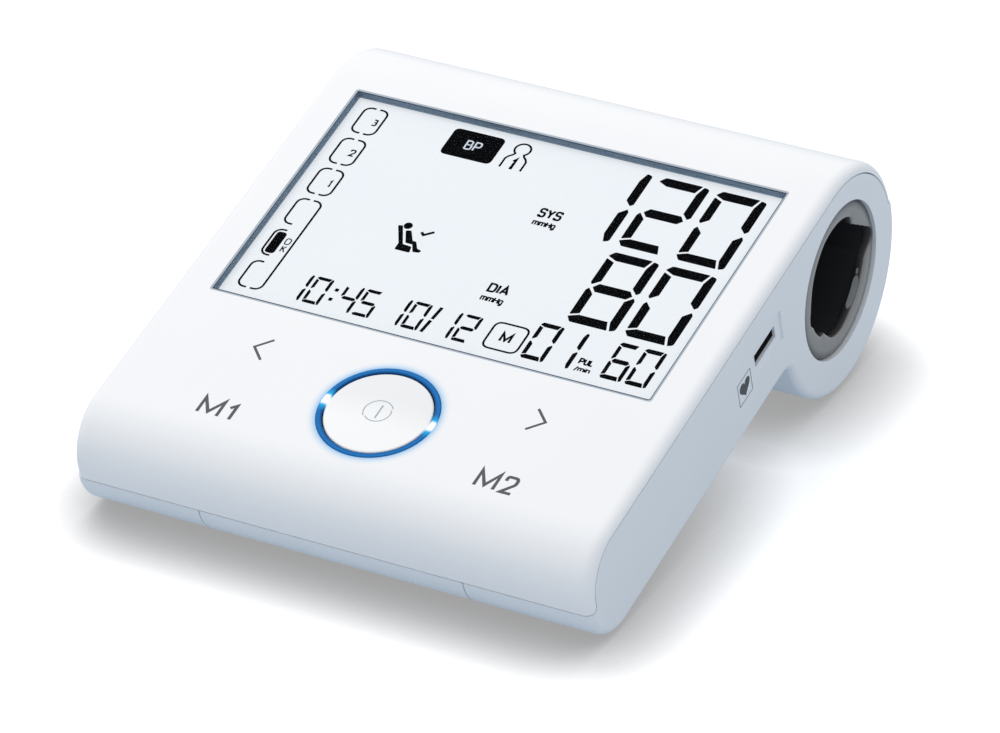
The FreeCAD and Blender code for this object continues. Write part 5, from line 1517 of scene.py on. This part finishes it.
@dataclass
class DisplayWindow:
    """The window: slate frame, clear lens and the glass as three stacked plates."""

    slab: SlabFrame
    # half width, half length, top and thickness of the polariser, the front and the rear glass
    stack: tuple[tuple[str, float, float, float, float], ...] = (
        ("lcd_polariser", 59.15, 37.8, -2.0, 0.95),
        ("lcd_front_glass", 60.65, 39.3, -2.95, 1.1),
        ("lcd_rear_glass", 60.65, 37.3, -4.05, 1.0),
    )
    art_shift: Point = (-1.214, 1.788)
    segment_t: float = 0.03
    box_line: float = 0.55
    border_half: tuple[float, float] = (59.46, 38.11)
    border_w: tuple[float, float] = (0.2, 0.32)
    border_top: float = -0.13
    # corner radii of the glass, and of the border's inner and outer edge
    glass_corner: float = 0.4
    border_corners: Point = (0.5, 0.7)
    big_rows: tuple[DigitRow, ...] = (
        DigitRow("120", 12.3, 33.65, 25.7, 13.4, 15.5),
        DigitRow("80", 27.8, 5.5, 25.6, 13.4, 15.5),
        DigitRow("60", 44.3, -22.4, 12.65, 5.8, 6.65),
        DigitRow("01", 23.1, -22.4, 12.65, 6.3, 6.75),
    )
    date_rows: tuple[DigitRow, ...] = (
        DigitRow("10", -41.9, -25.85, 9.35, 4.65, 5.4),
        DigitRow("45", -28.05, -25.85, 9.35, 4.7, 5.4),
        DigitRow("10", -14.7, -25.85, 9.35, 4.65, 5.4),
        DigitRow("12", -0.9, -25.85, 9.35, 4.65, 5.4),
    )
    letterings: tuple[Lettering, ...] = (
        Lettering("SYS", (4.65, 10.8, 10.95, 14.2), 0.62),
        Lettering("mmHg", (4.65, 7.35, 10.95, 9.85), 0.42, gap=0.24),
        Lettering("DIA", (5.05, -17.2, 10.8, -13.95), 0.62),
        Lettering("mmHg", (4.8, -20.9, 10.95, -18.3), 0.42, gap=0.24),
        Lettering("PUL", (37.55, -32.55, 41.55, -30.4), 0.48),
        Lettering("/min", (37.55, -35.1, 41.8, -33.2), 0.38, gap=0.22),
        Lettering("M", (15.8, -31.95, 18.9, -28.55), 0.66),
        Lettering("!", (-10.25, 24.1, -8.6, 28.05), 0.78),
        Lettering("3", (-50.45, 27.45, -49.0, 29.9), 0.44),
        Lettering("2", (-50.6, 15.5, -49.0, 18.05), 0.44),
        Lettering("!", (-50.2, 3.75, -49.2, 6.1), 0.4),
        Lettering("O", (-50.45, -18.5, -48.8, -16.15), 0.32),
        Lettering("K", (-50.2, -21.25, -48.8, -18.9), 0.34),
    )
    box_tops: tuple[float, ...] = (33.4, 21.5, 9.8, -2.0, -13.8, -25.7)
    box_size: tuple[float, float] = (6.6, 9.35)
    box_left: float = -54.55
    box_corner: float = 1.9
    box_gap: float = 1.05
    full_boxes: int = 3
    level_bar: Box = (-53.8, -22.4, -51.1, -14.65)
    # the time's two dots and the date's broken stroke
    dots: tuple[Box, ...] = ((-30.3, -29.3, -29.3, -28.25), (-30.3, -32.7, -29.3, -31.65))
    stroke: tuple[Outline, ...] = (
        ((-3.4, -35.1), (-2.883, -30.776)), ((-2.817, -30.224), (-2.3, -25.9)),
    )
    stroke_line: float = 0.9
    mode_box: Box = (-29.2, 23.95, -15.05, 33.7)
    mode_letters: Lettering = Lettering("BP", (-24.2, 27.1, -19.8, 30.5), 0.42)
    memory_box: Box = (12.7, -34.7, 21.85, -25.75)
    # corner radii of the level bar, the dots, the mode box and the memory box
    corner_radii: Box = (1.0, 0.1, 1.6, 2.0)
    # the user sign: its head's middle and radius, and its shoulders to the head and from it
    bust_head: Point = (-9.53, 31.55)
    bust_head_r: float = 2.1
    bust_angles: Point = (235.0, -55.0)
    shoulders: tuple[Outline, Outline] = (
        ((-12.4, 24.2), (-12.4, 27.45), (-11.95, 28.35), (-11.0, 29.25)),
        ((-8.05, 29.25), (-7.1, 28.35), (-6.65, 27.45), (-6.65, 24.2)),
    )
    # the seated figure: head, trunk on the chair, legs, and the tick beside it
    figure_head: Point = (-23.9, -2.5)
    figure_head_r: float = 1.15
    figure_parts: tuple[tuple[Corner, ...], ...] = (
        ((-26.4, -3.1, 0.3), (-25.2, -2.8, 0.3), (-22.1, -8.8, 0.2), (-19.6, -9.0, 0.4),
         (-19.1, -11.1, 0.4), (-23.3, -11.1, 0.4), (-23.3, -8.8, 0.3)),
        ((-23.7, -4.2, 0.4), (-22.3, -3.8, 0.4), (-20.3, -7.0, 0.2), (-19.3, -7.0, 0.5),
         (-17.9, -9.2, 0.2), (-16.6, -9.5, 0.3), (-16.8, -10.3, 0.3), (-18.5, -10.6, 0.3),
         (-19.8, -8.2, 0.1), (-21.7, -8.2, 0.4)),
    )
    tick: Outline = ((-19.65, -3.5), (-18.75, -4.3), (-16.6, -2.5))
    tick_line: float = 0.75

    def __post_init__(self) -> None:
        """Chooses the window's finishes."""
        # dyed satin ABS: the wall of the window, slate, with a painted highlight as a paler upper
        # band
        #         and a thin painted highlight line
        self.slate = SlateFrame("abs_satin_slate", "#7C93A8", "#546576", 0.4,
                                top_at=tuple(self.slab.origin), tilt=self.slab.tilt)
        # hard-coated acrylic: almost no reflection from above
        self.acrylic = ClearSheet("acrylic_clear_coated", "#FBFCFD", "#8A98A6", 1.13)
        # reflector seen through the liquid crystal: pale blue-white, lit from behind
        self.reflector = LitPanel("lcd_reflector_backlit", "#E9ECEE", "#ECEEF0", 0.65,
                                  scatter=0.5)
        # milky acrylic that spreads the lamps' light
        self.guide = LitPanel("acrylic_milky_light_guide", "#EEF2F6", "#F6F8FA", 0.1)
        # conductive rubber: dull black with a trace of grey
        self.zebra = Moulded("rubber_conductive_black", "#1C1D1F", "#26272A", 0.75, relief=0.15)

    def build(self) -> None:
        """Dresses the window and makes the glass with its segments."""
        dress("display_frame", self.slate)
        dress("display_lens", self.acrylic)
        dress("backlight", self.guide)
        dress("zebra_strips", self.zebra)
        self.stack_glass()
        self.print_border()
        self.draw_digits()
        self.draw_column()
        self.draw_icons()
        self.draw_lettering()

    def stack_glass(self) -> None:
        """Makes the glass: a polariser in the window, the front glass and the shorter rear one."""
        for number, (name, wide, long, top, thick) in enumerate(self.stack):
            plate = Plates(self.slab.at, top - thick, thick)
            plate.plate(box_outline(-wide, -long, wide, long, self.glass_corner))
            settle(plate.finish(name, self.reflector), Body.ROOT, Slot.LCD,
                   *(("lcd_glass",) if number == 1 else ()))

    def print_border(self) -> None:
        """Prints the slate line round the lens's top face."""
        wide, long = self.border_half
        across, up = self.border_w
        border = Plates(self.slab.at, self.border_top - self.segment_t, self.segment_t)
        inner, outer = self.border_corners
        border.band(box_outline(across - wide, up - long, wide - across, long - up, inner),
                    box_outline(-wide, -long, wide, long, outer))
        settle(border.finish("lens_border", INKS[Print.SLATE]), Body.ROOT, Slot.SLATE)

    def plates(self, lift: float = 0.01) -> Plates:
        """Starts a collection of segments, a little over the polariser.

        Args:
            lift: Height over the polariser, in mm.

        Returns:
            The collection.
        """
        du, dv = self.art_shift
        return Plates(lambda u, v, w: self.slab.at(u + du, v + dv, w), self.stack[0][3] + lift,
                      self.segment_t)

    def show(self, plates: Plates, name: str, kind: Print = Print.SEGMENT) -> None:
        """Finishes a collection of segments as a piece of the glass."""
        settle(plates.finish(name, INKS[kind]), Body.ROOT, Slot.LCD)

    def draw_digits(self) -> None:
        """Draws the pressures, the pulse, the memory's number, the time and the date."""
        big = self.plates()
        for row in self.big_rows:
            row.draw(big)
        self.show(big, "lcd_readings")
        small = self.plates()
        for row in self.date_rows:
            row.draw(small)
        for dot in self.dots:
            small.plate(box_outline(*dot, self.corner_radii[1]))
        for half in self.stroke:
            small.line(half, self.stroke_line)
        self.show(small, "lcd_time_and_date")

    def half_box(self, top: float, bottom: float, side: int) -> list[Point]:
        """Returns the path of one half of a box, from its top gap to its bottom gap.

        Args:
            top: The box's top.
            bottom: Its bottom.
            side: -1 for the left half, 1 for the right one.

        Returns:
            The line's middle.
        """
        wide, _ = self.box_size
        middle = self.box_left + wide / 2
        edge = middle + side * wide / 2
        start = middle + side * self.box_gap / 2
        radius = self.box_corner
        inner = edge - side * radius
        upper = arc((inner, top - radius), radius, 90, 90 + side * -90, 6)
        first, last = (180, 270) if side < 0 else (0, -90)
        lower = arc((inner, bottom + radius), radius, first, last, 6)
        return [(start, top), *upper, *lower, (start, bottom)]

    def draw_column(self) -> None:
        """Draws the column of boxes at the left, its long bracket and its filled bar."""
        column = self.plates()
        wide, high = self.box_size
        for number, top in enumerate(self.box_tops):
            column.line(self.half_box(top, top - high, -1), self.box_line)
            if number < self.full_boxes:
                column.line(self.half_box(top, top - high, 1), self.box_line)
        first, last = self.box_tops[self.full_boxes], self.box_tops[-1]
        column.line(self.half_box(first, last - high, 1), self.box_line)
        column.plate(box_outline(*self.level_bar, self.corner_radii[0]))
        self.show(column, "lcd_level_column")

    def draw_icons(self) -> None:
        """Draws the mode box, the memory box, the user bust and the seated figure."""
        icons = self.plates()
        icons.plate(box_outline(*self.mode_box, self.corner_radii[2]))
        around = box_outline(*self.memory_box, self.corner_radii[3])
        icons.line([*around, around[0]], self.box_line)
        self.user_bust(icons)
        self.seated_figure(icons)
        self.show(icons, "lcd_icons")
        knockout = self.plates(self.segment_t)
        knockout.letters(self.mode_letters)
        self.show(knockout, "lcd_mode_letters", Print.KNOCKOUT)

    def user_bust(self, icons: Plates) -> None:
        """Draws a plain user sign: an open head circle that runs into two shoulders.

        Args:
            icons: The collection that gets it.
        """
        left, right = self.shoulders
        head = arc(self.bust_head, self.bust_head_r, *self.bust_angles)
        icons.line([*left, *head, *right], self.box_line)

    def seated_figure(self, icons: Plates) -> None:
        """Draws a plain figure leaning back on a chair, with a tick beside it.

        Args:
            icons: The collection that gets it.
        """
        icons.plate(arc(self.figure_head, self.figure_head_r, 0, 360, steps=20)[:-1])
        for part in self.figure_parts:
            icons.plate(rounded(part))
        icons.line(self.tick, self.tick_line)

    def draw_lettering(self) -> None:
        """Draws the names, the units and the small numbers."""
        words = self.plates()
        for lettering in self.letterings:
            words.letters(lettering)
        self.show(words, "lcd_lettering")


@dataclass
class StartKey:
    """The round key with its standby sign, the blue ring round it, its switch and lamps."""

    slab: SlabFrame
    centre: Point = (0.0, -63.3)
    crown_w: float = 0.5
    crown_r: float = 177.14
    # the sign's broken circle as (radius, first angle, last angle)
    sign_arcs: tuple[Corner, ...] = ((3.62, 31.0, 219.0), (3.3, 225.0, 384.0))
    sign_line: float = 0.26
    bar: tuple[Point, Point] = ((0.3, -2.3), (0.3, 2.2))
    bar_line: float = 0.42
    sign_t: float = 0.02

    def build(self) -> None:
        """Dresses the key and its ring, and draws the standby sign on the crown as thin lines of
        painted groove shade.
        """
        axis = tuple(self.slab.at(*self.centre, 0.0))
        # the cover's own ABS, polished, with painted shade up the slope
        dress("start_key", PaintedShadeKeyGloss("abs_gloss_white_key", "#FBFCFD", "#F8FAFB", 0.26))
        # blue-dyed acrylic lit from below: deep blue, cyan and white over the lamps
        dress("light_ring", BlueLightRing("acrylic_blue_lit", axis_at=axis,
                                          tilt=self.slab.tilt))
        # phenolic switch case with a matt pin
        dress("start_switch", Moulded("phenolic_black", "#1D1E20", "#27282B", 0.5))
        # milky epoxy over a lamp chip
        dress("ring_leds", LitPanel("epoxy_milky_lamp", "#CFE6FB", "#E8F4FF", 0.6))
        sign = Plates(self.slab.on_crown(self.centre, self.crown_w, self.crown_r), 0.0,
                      self.sign_t)
        for radius, start, stop in self.sign_arcs:
            sign.line(arc((0.0, 0.0), radius, start, stop, steps=36), self.sign_line)
        sign.line(self.bar, self.bar_line)
        settle(sign.finish("standby_sign", INKS[Print.GROOVE_SHADE]), Body.KEY, Slot.GLOSS_WHITE)


@dataclass
class StickStore:
    """The storage tube in the roll, its smoked mouth, and the plug slot's connector.

    Angles run about the store's axis from up the slope towards the top, in degrees; depths
    run in from the right side, in mm.
    """

    slab: SlabFrame
    side_u: float = 69.65
    axis: Point = (40.85, -28.4)
    rim_r: float = 20.2
    # the mouth's inner outline as (angle, radius): the lobe at the rear and the lug below
    opening: tuple[Point, ...] = (
        (-175, 15.8), (-167, 14.9), (-157, 14.8), (-142, 14.7), (-138, 14.0), (-136.5, 13.5),
        (-128, 14.0), (-122, 14.5), (-113, 15.4), (-103, 15.8), (-92, 15.9), (-74, 15.4),
        (-49, 15.5), (-32, 15.6), (-21, 16.0), (-15, 17.1), (-11, 18.6), (-6, 19.4), (0, 19.5),
        (3, 19.0), (10.2, 17.15), (19.1, 15.65), (29.5, 14.58), (41, 14.06), (49, 15.7),
        (60, 15.85), (83, 15.85), (106, 15.85), (117, 15.5), (129, 15.3), (141, 15.1),
        (153, 14.8), (164, 14.8), (171, 15.0), (178, 15.5),
    )
    # the lip's section as (share of the way from the opening to the rim, depth)
    lip: tuple[Point, ...] = (
        (1.0, 3.28), (1.0, 1.2), (0.97, 1.02), (0.8, 0.8), (0.6, 0.68), (0.4, 0.64),
        (0.22, 0.68), (0.1, 0.78), (0.03, 0.9), (0.0, 1.05), (0.0, 3.28),
    )
    # two parts of the painted highlight streak, a light grey strip on the wall: first and last
    #     angle, outer and inner depth
    highlight_streaks: tuple[Box, ...] = (
        (-71.0, -38.6, 1.45, 2.9), (-37.4, -31.5, 2.05, 2.55),
    )
    streak_r: Point = (15.2, 15.36)
    # of a part's half length: the share of full height, and the run of its round end
    streak_full: float = 0.55
    streak_end: float = 0.47
    # the plug slot in the housing's side, and the sleeve in it as first and last depth
    slot_at: Point = (1.4, -15.2)
    slot_size: Point = (11.3, 3.6)
    nose_depth: Point = (1.35, 2.9)
    nose_t: float = 0.3
    nose_gap: float = 0.02

    def build(self) -> None:
        """Dresses the tube and the connector, and makes the mouth with a painted highlight streak
        on its wall.
        """
        # moulded black ABS, polished inside so that the stick slides in
        dress("stick_tube", Moulded("abs_black_tube", "#292A2C", "#313235", 0.3,
                                    rough_spread=0.03))
        # glass-filled nylon: dull black
        dress("side_socket", Moulded("nylon_black", "#141618", "#1B1D20", 0.55))
        # grey-dyed polycarbonate: a wet gloss, grey at the lip, with painted shade down the bore
        # and
        #         towards the rim
        smoke = SmokedLip("polycarbonate_smoked", "#8E8C89", "#868480", 0.16,
                          rough_spread=0.03, relief=0.02, ior=1.58,
                          axis_at=tuple(self.slab.at(0.0, *self.axis)))
        settle(object_from(self.mouth(), "tube_mouth_lip", smoke, smooth=True), Body.ROOT,
               Slot.SMOKED, "tube_mouth")
        # the same polycarbonate where the catch stands proud of the wall
        # light grey polycarbonate strip standing proud of the wall: a painted highlight streak down         the bore
        highlight_streak = Moulded("polycarbonate_grey_highlight_streak", "#A9ABAE", "#9C9EA1", 0.35)
        settle(object_from(self.highlight_streak(), "tube_mouth_highlight_streak", highlight_streak), Body.ROOT, Slot.SMOKED)
        # the connector's nylon nose lines the slot from just behind the housing's face
        nose = Moulded("nylon_black_nose", "#17181B", "#1D1E21", 0.5)
        settle(object_from(self.slot_nose(), "side_socket_nose", nose), Body.ROOT,
               Slot.NYLON)

    def spot(self, angle: float, radius: float, depth: float) -> Vector:
        """Works out a place about the store's axis.

        Args:
            angle: Angle about the axis, in degrees.
            radius: Distance from the axis.
            depth: Depth from the right side.

        Returns:
            The place, in metres.
        """
        turn = math.radians(angle)
        return self.slab.at(self.side_u - depth, self.axis[0] + radius * math.cos(turn),
                            self.axis[1] + radius * math.sin(turn))

    def mouth(self, steps: int = 5) -> bmesh.types.BMesh:
        """Sweeps the lip's section round the opening.

        Args:
            steps: Number of sections from one point of the opening to the next.

        Returns:
            The closed ring.
        """
        turned = [*self.opening[1:], (self.opening[0][0] + 360, self.opening[0][1])]
        sections = []
        for (angle, radius), (next_angle, next_radius) in zip(self.opening, turned):
            for step in range(steps):
                share = step / steps
                here = angle + (next_angle - angle) * share
                inner = radius + (next_radius - radius) * share
                sections.append([self.spot(here, inner + (self.rim_r - inner) * along, depth)
                                 for along, depth in self.lip])
        return swept(sections, closed=True)

    def slot_nose(self) -> bmesh.types.BMesh:
        """Makes the thin sleeve in the housing's slot.

        Returns:
            The sleeve.
        """
        middle_v, middle_w = self.slot_at
        outer, inner = self.nose_depth
        sections = []
        for depth, inset in ((outer, self.nose_gap), (outer, self.nose_t),
                             (inner, self.nose_t), (inner, self.nose_gap)):
            half_v, half_w = (size / 2 - inset for size in self.slot_size)
            sections.append([self.slab.at(self.side_u - depth, middle_v + half_v * along,
                                          middle_w + half_w * up)
                             for along, up in ((-1, -1), (1, -1), (1, 1), (-1, 1))])
        return swept(sections, closed=True)

    def highlight_streak(self, steps: int = 12) -> bmesh.types.BMesh:
        """Makes the painted highlight streak's two thin curved parts with round ends.

        Args:
            steps: Number of sections of each part, less one.

        Returns:
            Both parts in one mesh.
        """
        parts = bmesh.new()
        near, far = self.streak_r
        for first, last, outer, inner in self.highlight_streaks:
            sections = []
            for step in range(steps + 1):
                along = step / steps
                angle = first + (last - first) * along
                past = max(0.0, abs(along * 2 - 1) - self.streak_full) / self.streak_end
                half = (inner - outer) / 2 * math.sqrt(1 - past * past)
                top, bottom = (outer + inner) / 2 - half, (outer + inner) / 2 + half
                sections.append([self.spot(angle, near, top), self.spot(angle, far, top),
                                 self.spot(angle, far, bottom),
                                 self.spot(angle, near, bottom)])
            swept(sections, closed=False, into=parts)
        return parts


@dataclass
class AirPath:
    """The sockets in the left side, and pump, valve, sensor, manifold and hoses inside."""

    def build(self) -> None:
        """Dresses the sockets and the pneumatic parts."""
        # moulded acetal: waxy mid grey
        acetal = Moulded("acetal_grey", "#9DA2A8", "#8F949A", 0.38)
        # glass-filled nylon: black with a dull sheen
        nylon = Moulded("nylon_black_filled", "#232528", "#2D2F33", 0.5)
        for node in ("air_socket", "air_manifold", "pump_head"):
            dress(node, acetal)
        for node in ("power_jack", "release_valve", "pressure_sensor"):
            dress(node, nylon)
        # clear silicone hose: milky, soft gloss, lets some of what is behind it through
        dress("air_hoses", Moulded("silicone_clear_hose", "#DCE2E6", "#CDD5DA", 0.35,
                                   alpha=0.72))
        # zinc-plated drawn can: cool grey with soft upright lines
        dress("pump_motor", Metal("steel_zinc_plated", "#B9BDC2", "#9EA3A9", 0.32))
        # turned steel shaft: brighter, with lines along its length
        dress("pump_rotor", Metal("steel_turned", "#C4C7CB", "#ABAFB4", 0.22,
                                  stretch=(12.0, 1.0, 1.0)))
        # moulded soft rubber: dull black
        dress("pump_cradle", Moulded("rubber_black_soft", "#202124", "#2A2B2E", 0.8,
                                     relief=0.15))


@dataclass
class PowerBay:
    """The battery bay: four cells, contact plates and coil springs."""

    wire_r: float = 0.3
    wide_r: float = 4.0
    narrow_r: float = 2.6
    turns: float = 3.5
    # the frame's cones: width of the wide end, and the share of it that shows in their boxes
    cone_wide: float = 8.6
    cone_share: float = 0.86
    # the cells' pale band, from the bay's front end
    band: Point = (6.0, 12.0)

    def build(self, slab: SlabFrame) -> None:
        """Dresses the cells and winds the springs.

        Args:
            slab: The slab's frame.
        """
        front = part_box("battery_cells")[0].y / MM
        # printed shrink film: glossy, near black with a silver band
        dress("battery_cells", CellSleeve("shrink_film_dark_banded",
                                          *(front + place for place in self.band)))
        # nickel-plated spring strip: bright, slightly warm
        nickel = Metal("steel_nickel_plated", "#C9CBCD", "#B2B5B8", 0.25)
        dress("battery_contacts", nickel)
        cones = islands("battery_springs")
        room = self.length(cones[0], slab.tilt)
        spots = []
        for number, (low, high) in enumerate(cones):
            towards = 1 if number % 2 else -1
            foot = ((low + high) / 2
                    - slab.along(0.0, towards, 0.0) * (room / 2 - self.wire_r) * MM)
            spots.append((foot, Vector((slab.tilt - towards * math.pi / 2, 0.0, 0.0))))
        coil = CoilSizes(self.wire_r, self.wide_r, self.narrow_r, room - self.wire_r * 2,
                         self.turns)
        # music wire, nickel plated: bright lines along each turn
        settle(coil.tree().build("battery_coils", spots, nickel), Body.ROOT, Slot.SPRING,
               "battery_springs")

    def length(self, corners: tuple[Vector, Vector], tilt: float) -> float:
        """Returns a tilted cone's length in mm, from its box and its wide end."""
        tall = (corners[1].y - corners[0].y) / MM
        return (tall - self.cone_wide * math.sin(tilt) * self.cone_share) / math.cos(tilt)


@dataclass
class ControlBoard:
    """The board under the slab, its screws and the sprung contacts of the touch keys."""

    screw: ScrewSizes = ScrewSizes(2.1, 1.3, 0.95, 4.6)
    seat_w: float = -9.6
    rows: tuple[float, ...] = (-78.0, -43.7, 43.7)
    boss_u: float = 48.0
    touch: CoilSizes = CoilSizes(0.25, 2.8, 4.2, 5.7, 5.0)

    def build(self, slab: SlabFrame) -> None:
        """Dresses the board and makes its screws and springs.

        Args:
            slab: The slab's frame.
        """
        # glass-epoxy laminate under solder mask: glossy green with raised tracks
        dress("main_board", SolderMask("glass_epoxy_green"))
        turn = Vector((slab.tilt, 0.0, 0.0))
        screws = [(slab.at(sign * self.boss_u, row, self.seat_w), turn)
                  for row in self.rows for sign in (-1, 1)]
        # zinc-plated steel: bright with a cool cast
        steel = Metal("steel_zinc_screw", "#C6C9CC", "#A9ADB2", 0.3)
        settle(self.screw.tree().build("board_pan_screws", screws, steel), Body.ROOT,
               Slot.SCREW, "board_screws")
        feet = [((low + high) / 2 - slab.along(0.0, 0.0, self.touch.height / 2) * MM, turn)
                for low, high in islands("touch_springs")]
        # spring steel wire: bright, with drawn lines
        wire = Metal("steel_spring_wire", "#BFC2C6", "#A2A6AB", 0.28)
        settle(self.touch.tree().build("touch_coils", feet, wire), Body.ROOT, Slot.SPRING,
               "touch_springs")


@dataclass
class HousingScrews:
    """The four screws from below through the housing into the cover's posts."""

    sizes: ScrewSizes = ScrewSizes(2.8, 1.5, 1.4, 14.2, pitch=1.1)
    # length of the frame's solids along the screw, as their boxes show it
    solid_l: float = 15.75

    def build(self, slab: SlabFrame) -> None:
        """Makes the screws where the frame's solids are.

        Args:
            slab: The slab's frame.
        """
        seat = slab.along(0.0, 0.0, self.solid_l / 2 - self.sizes.head_t) * MM
        spots = [((low + high) / 2 - seat, Vector((slab.tilt, 0.0, 0.0)))
                 for low, high in islands("housing_screws")]
        # zinc-plated steel: cool grey with a soft blue cast
        steel = Metal("steel_zinc_housing_screw", "#BCC0C6", "#A0A5AC", 0.32)
        settle(self.sizes.tree().build("housing_pan_screws", spots, steel), Body.ROOT,
               Slot.SCREW, "housing_screws")


@dataclass
class Studio:
    """White sweep, pale sky light, one large soft lamp and the camera.

    The camera stands in the slab's frame, in mm and degrees.
    """

    slab: SlabFrame
    azimuth: float = 34.2119
    elevation: float = 42.9242
    roll: float = -10.4057
    distance: float = 1437.55
    aim: Corner = (20.4253, -39.5394, 0.0)
    lens_mm: float = 218.314
    sensor_mm: float = 36.0
    sight_m: float = 20.0
    sky: str = "#F4F6F9"
    sky_strength: float = 0.82
    lamp_watts: float = 4.6
    lamp_colour: str = "#FFF8F0"
    # the lamp and what it points at, in metres in the row's frame
    lamp_at: Corner = (-0.5, 0.2, 1.05)
    lamp_aim: Corner = (0.0, 0.0, 0.03)
    lamp_size: float = 0.8
    floor_half: float = 6.0
    floor_z: float = -0.0002

    def build(self) -> None:
        """Sets up the camera, the light and the floor."""
        self.set_camera()
        self.set_sky()
        self.set_lamp()
        self.set_floor()
        bpy.context.scene.view_settings.view_transform = "Standard"

    def set_camera(self) -> None:
        """Points the camera at the body."""
        turn, rise = math.radians(self.azimuth), math.radians(self.elevation)
        back = self.slab.along(math.sin(turn) * math.cos(rise),
                               -math.cos(turn) * math.cos(rise), math.sin(rise))
        level = self.slab.along(math.cos(turn), math.sin(turn), 0.0)
        upright = back.cross(level)
        lean = math.radians(self.roll)
        right = level * math.cos(lean) + upright * math.sin(lean)
        up = back.cross(right)
        place = self.slab.at(*self.aim) + back * self.distance * MM
        lens = bpy.data.cameras.new("studio_camera")
        lens.lens = self.lens_mm
        lens.sensor_width = self.sensor_mm
        lens.clip_end = self.sight_m
        camera = bpy.data.objects.new("studio_camera", lens)
        camera.matrix_world = Matrix.Translation(place) @ Matrix(
            (right, up, back)).transposed().to_4x4()
        bpy.context.scene.collection.objects.link(camera)
        bpy.context.scene.camera = camera

    def set_sky(self) -> None:
        """Lights from all round with a cool sky that looks white itself."""
        world = bpy.data.worlds.new("studio_sky")
        world.use_nodes = True
        tree = world.node_tree
        tree.nodes.clear()
        rays = add_node(tree, "ShaderNodeLightPath")
        seen = rays["Is Camera Ray"]
        for kind in ("Is Transmission Ray", "Is Glossy Ray"):
            seen = add_node(tree, "ShaderNodeMath", {0: seen, 1: rays[kind]},
                            operation="MAXIMUM")["Value"]
        light = add_node(tree, "ShaderNodeBackground",
                         {"Color": self.sky, "Strength": self.sky_strength})[0]
        white = add_node(tree, "ShaderNodeBackground", {"Color": "#FFFFFF", "Strength": 1.0})[0]
        both = add_node(tree, "ShaderNodeMixShader", {0: seen, 1: light, 2: white})[0]
        add_node(tree, "ShaderNodeOutputWorld", {"Surface": both})
        bpy.context.scene.world = world

    def set_lamp(self) -> None:
        """Hangs the large soft lamp above, to the left and behind."""
        light = bpy.data.lights.new("soft_lamp", "AREA")
        light.shape = "DISK"
        light.size = self.lamp_size
        light.energy = self.lamp_watts
        light.color = linear(self.lamp_colour)[:3]
        lamp = bpy.data.objects.new("soft_lamp", light)
        lamp.location = self.lamp_at
        lamp.visible_glossy = False
        aim = Vector(self.lamp_aim) - Vector(self.lamp_at)
        lamp.rotation_euler = aim.to_track_quat("-Z", "Y").to_euler()
        bpy.context.scene.collection.objects.link(lamp)

    def set_floor(self) -> None:
        """Lays the floor, white to the eye except for the body's shadow."""
        sheet = bmesh.new()
        half = self.floor_half
        corners = [(-half, -half), (half, -half), (half, half), (-half, half)]
        sheet.faces.new([sheet.verts.new((x, y, self.floor_z)) for x, y in corners])
        object_from(sheet, "studio_floor", FloorPaper("matt_paper_white"))


@dataclass(frozen=True)
class FloorPaper(Finish):
    """Matt white paper sweep: it lights the body less than it shows, and a little by itself."""

    bounce: str = "#9AA6B2"
    glow: str = "#DCE8F4"
    glow_strength: float = 0.26
    lift: float = 0.36
    shade_reach: float = 0.022
    shade_depth: float = 2.4

    def draw(self, tree: Tree) -> Socket:
        """Draws paper that is white to the camera and keeps the shadow, deepened at the feet by
        painted shade from an occlusion node.

        Args:
            tree: The material's tree.

        Returns:
            The shader's socket.
        """
        # painted shade: occlusion darkens the paper's colour near the body
        near = add_node(tree, "ShaderNodeAmbientOcclusion", {"Distance": self.shade_reach})["AO"]
        shade = add_node(tree, "ShaderNodeMath", {0: near, 1: self.shade_depth},
                         operation="POWER")["Value"]
        seen, unseen = (
            add_node(tree, "ShaderNodeAddShader", {
                0: add_node(tree, "ShaderNodeBsdfDiffuse", {"Color": paper})[0],
                1: add_node(tree, "ShaderNodeEmission", {"Color": light, "Strength": strength})[0],
            })[0] for paper, light, strength in ((shade, "#FFFFFF", self.lift),
                                                 (self.bounce, self.glow, self.glow_strength)))
        return add_node(tree, "ShaderNodeMixShader",
                        {0: add_node(tree, "ShaderNodeLightPath")["Is Camera Ray"], 1: unseen,
                         2: seen})[0]


def main() -> None:
    """Builds the looks in order."""
    logging.basicConfig(level=logging.INFO, format="%(message)s")
    slab = SlabFrame.from_frame()
    Studio(slab).build()
    Shells(slab).build()
    DisplayWindow(slab).build()
    StartKey(slab).build()
    StickStore(slab).build()
    AirPath().build()
    PowerBay().build(slab)
    ControlBoard().build(slab)
    HousingScrews().build(slab)


if __name__ == "__main__":
    main()
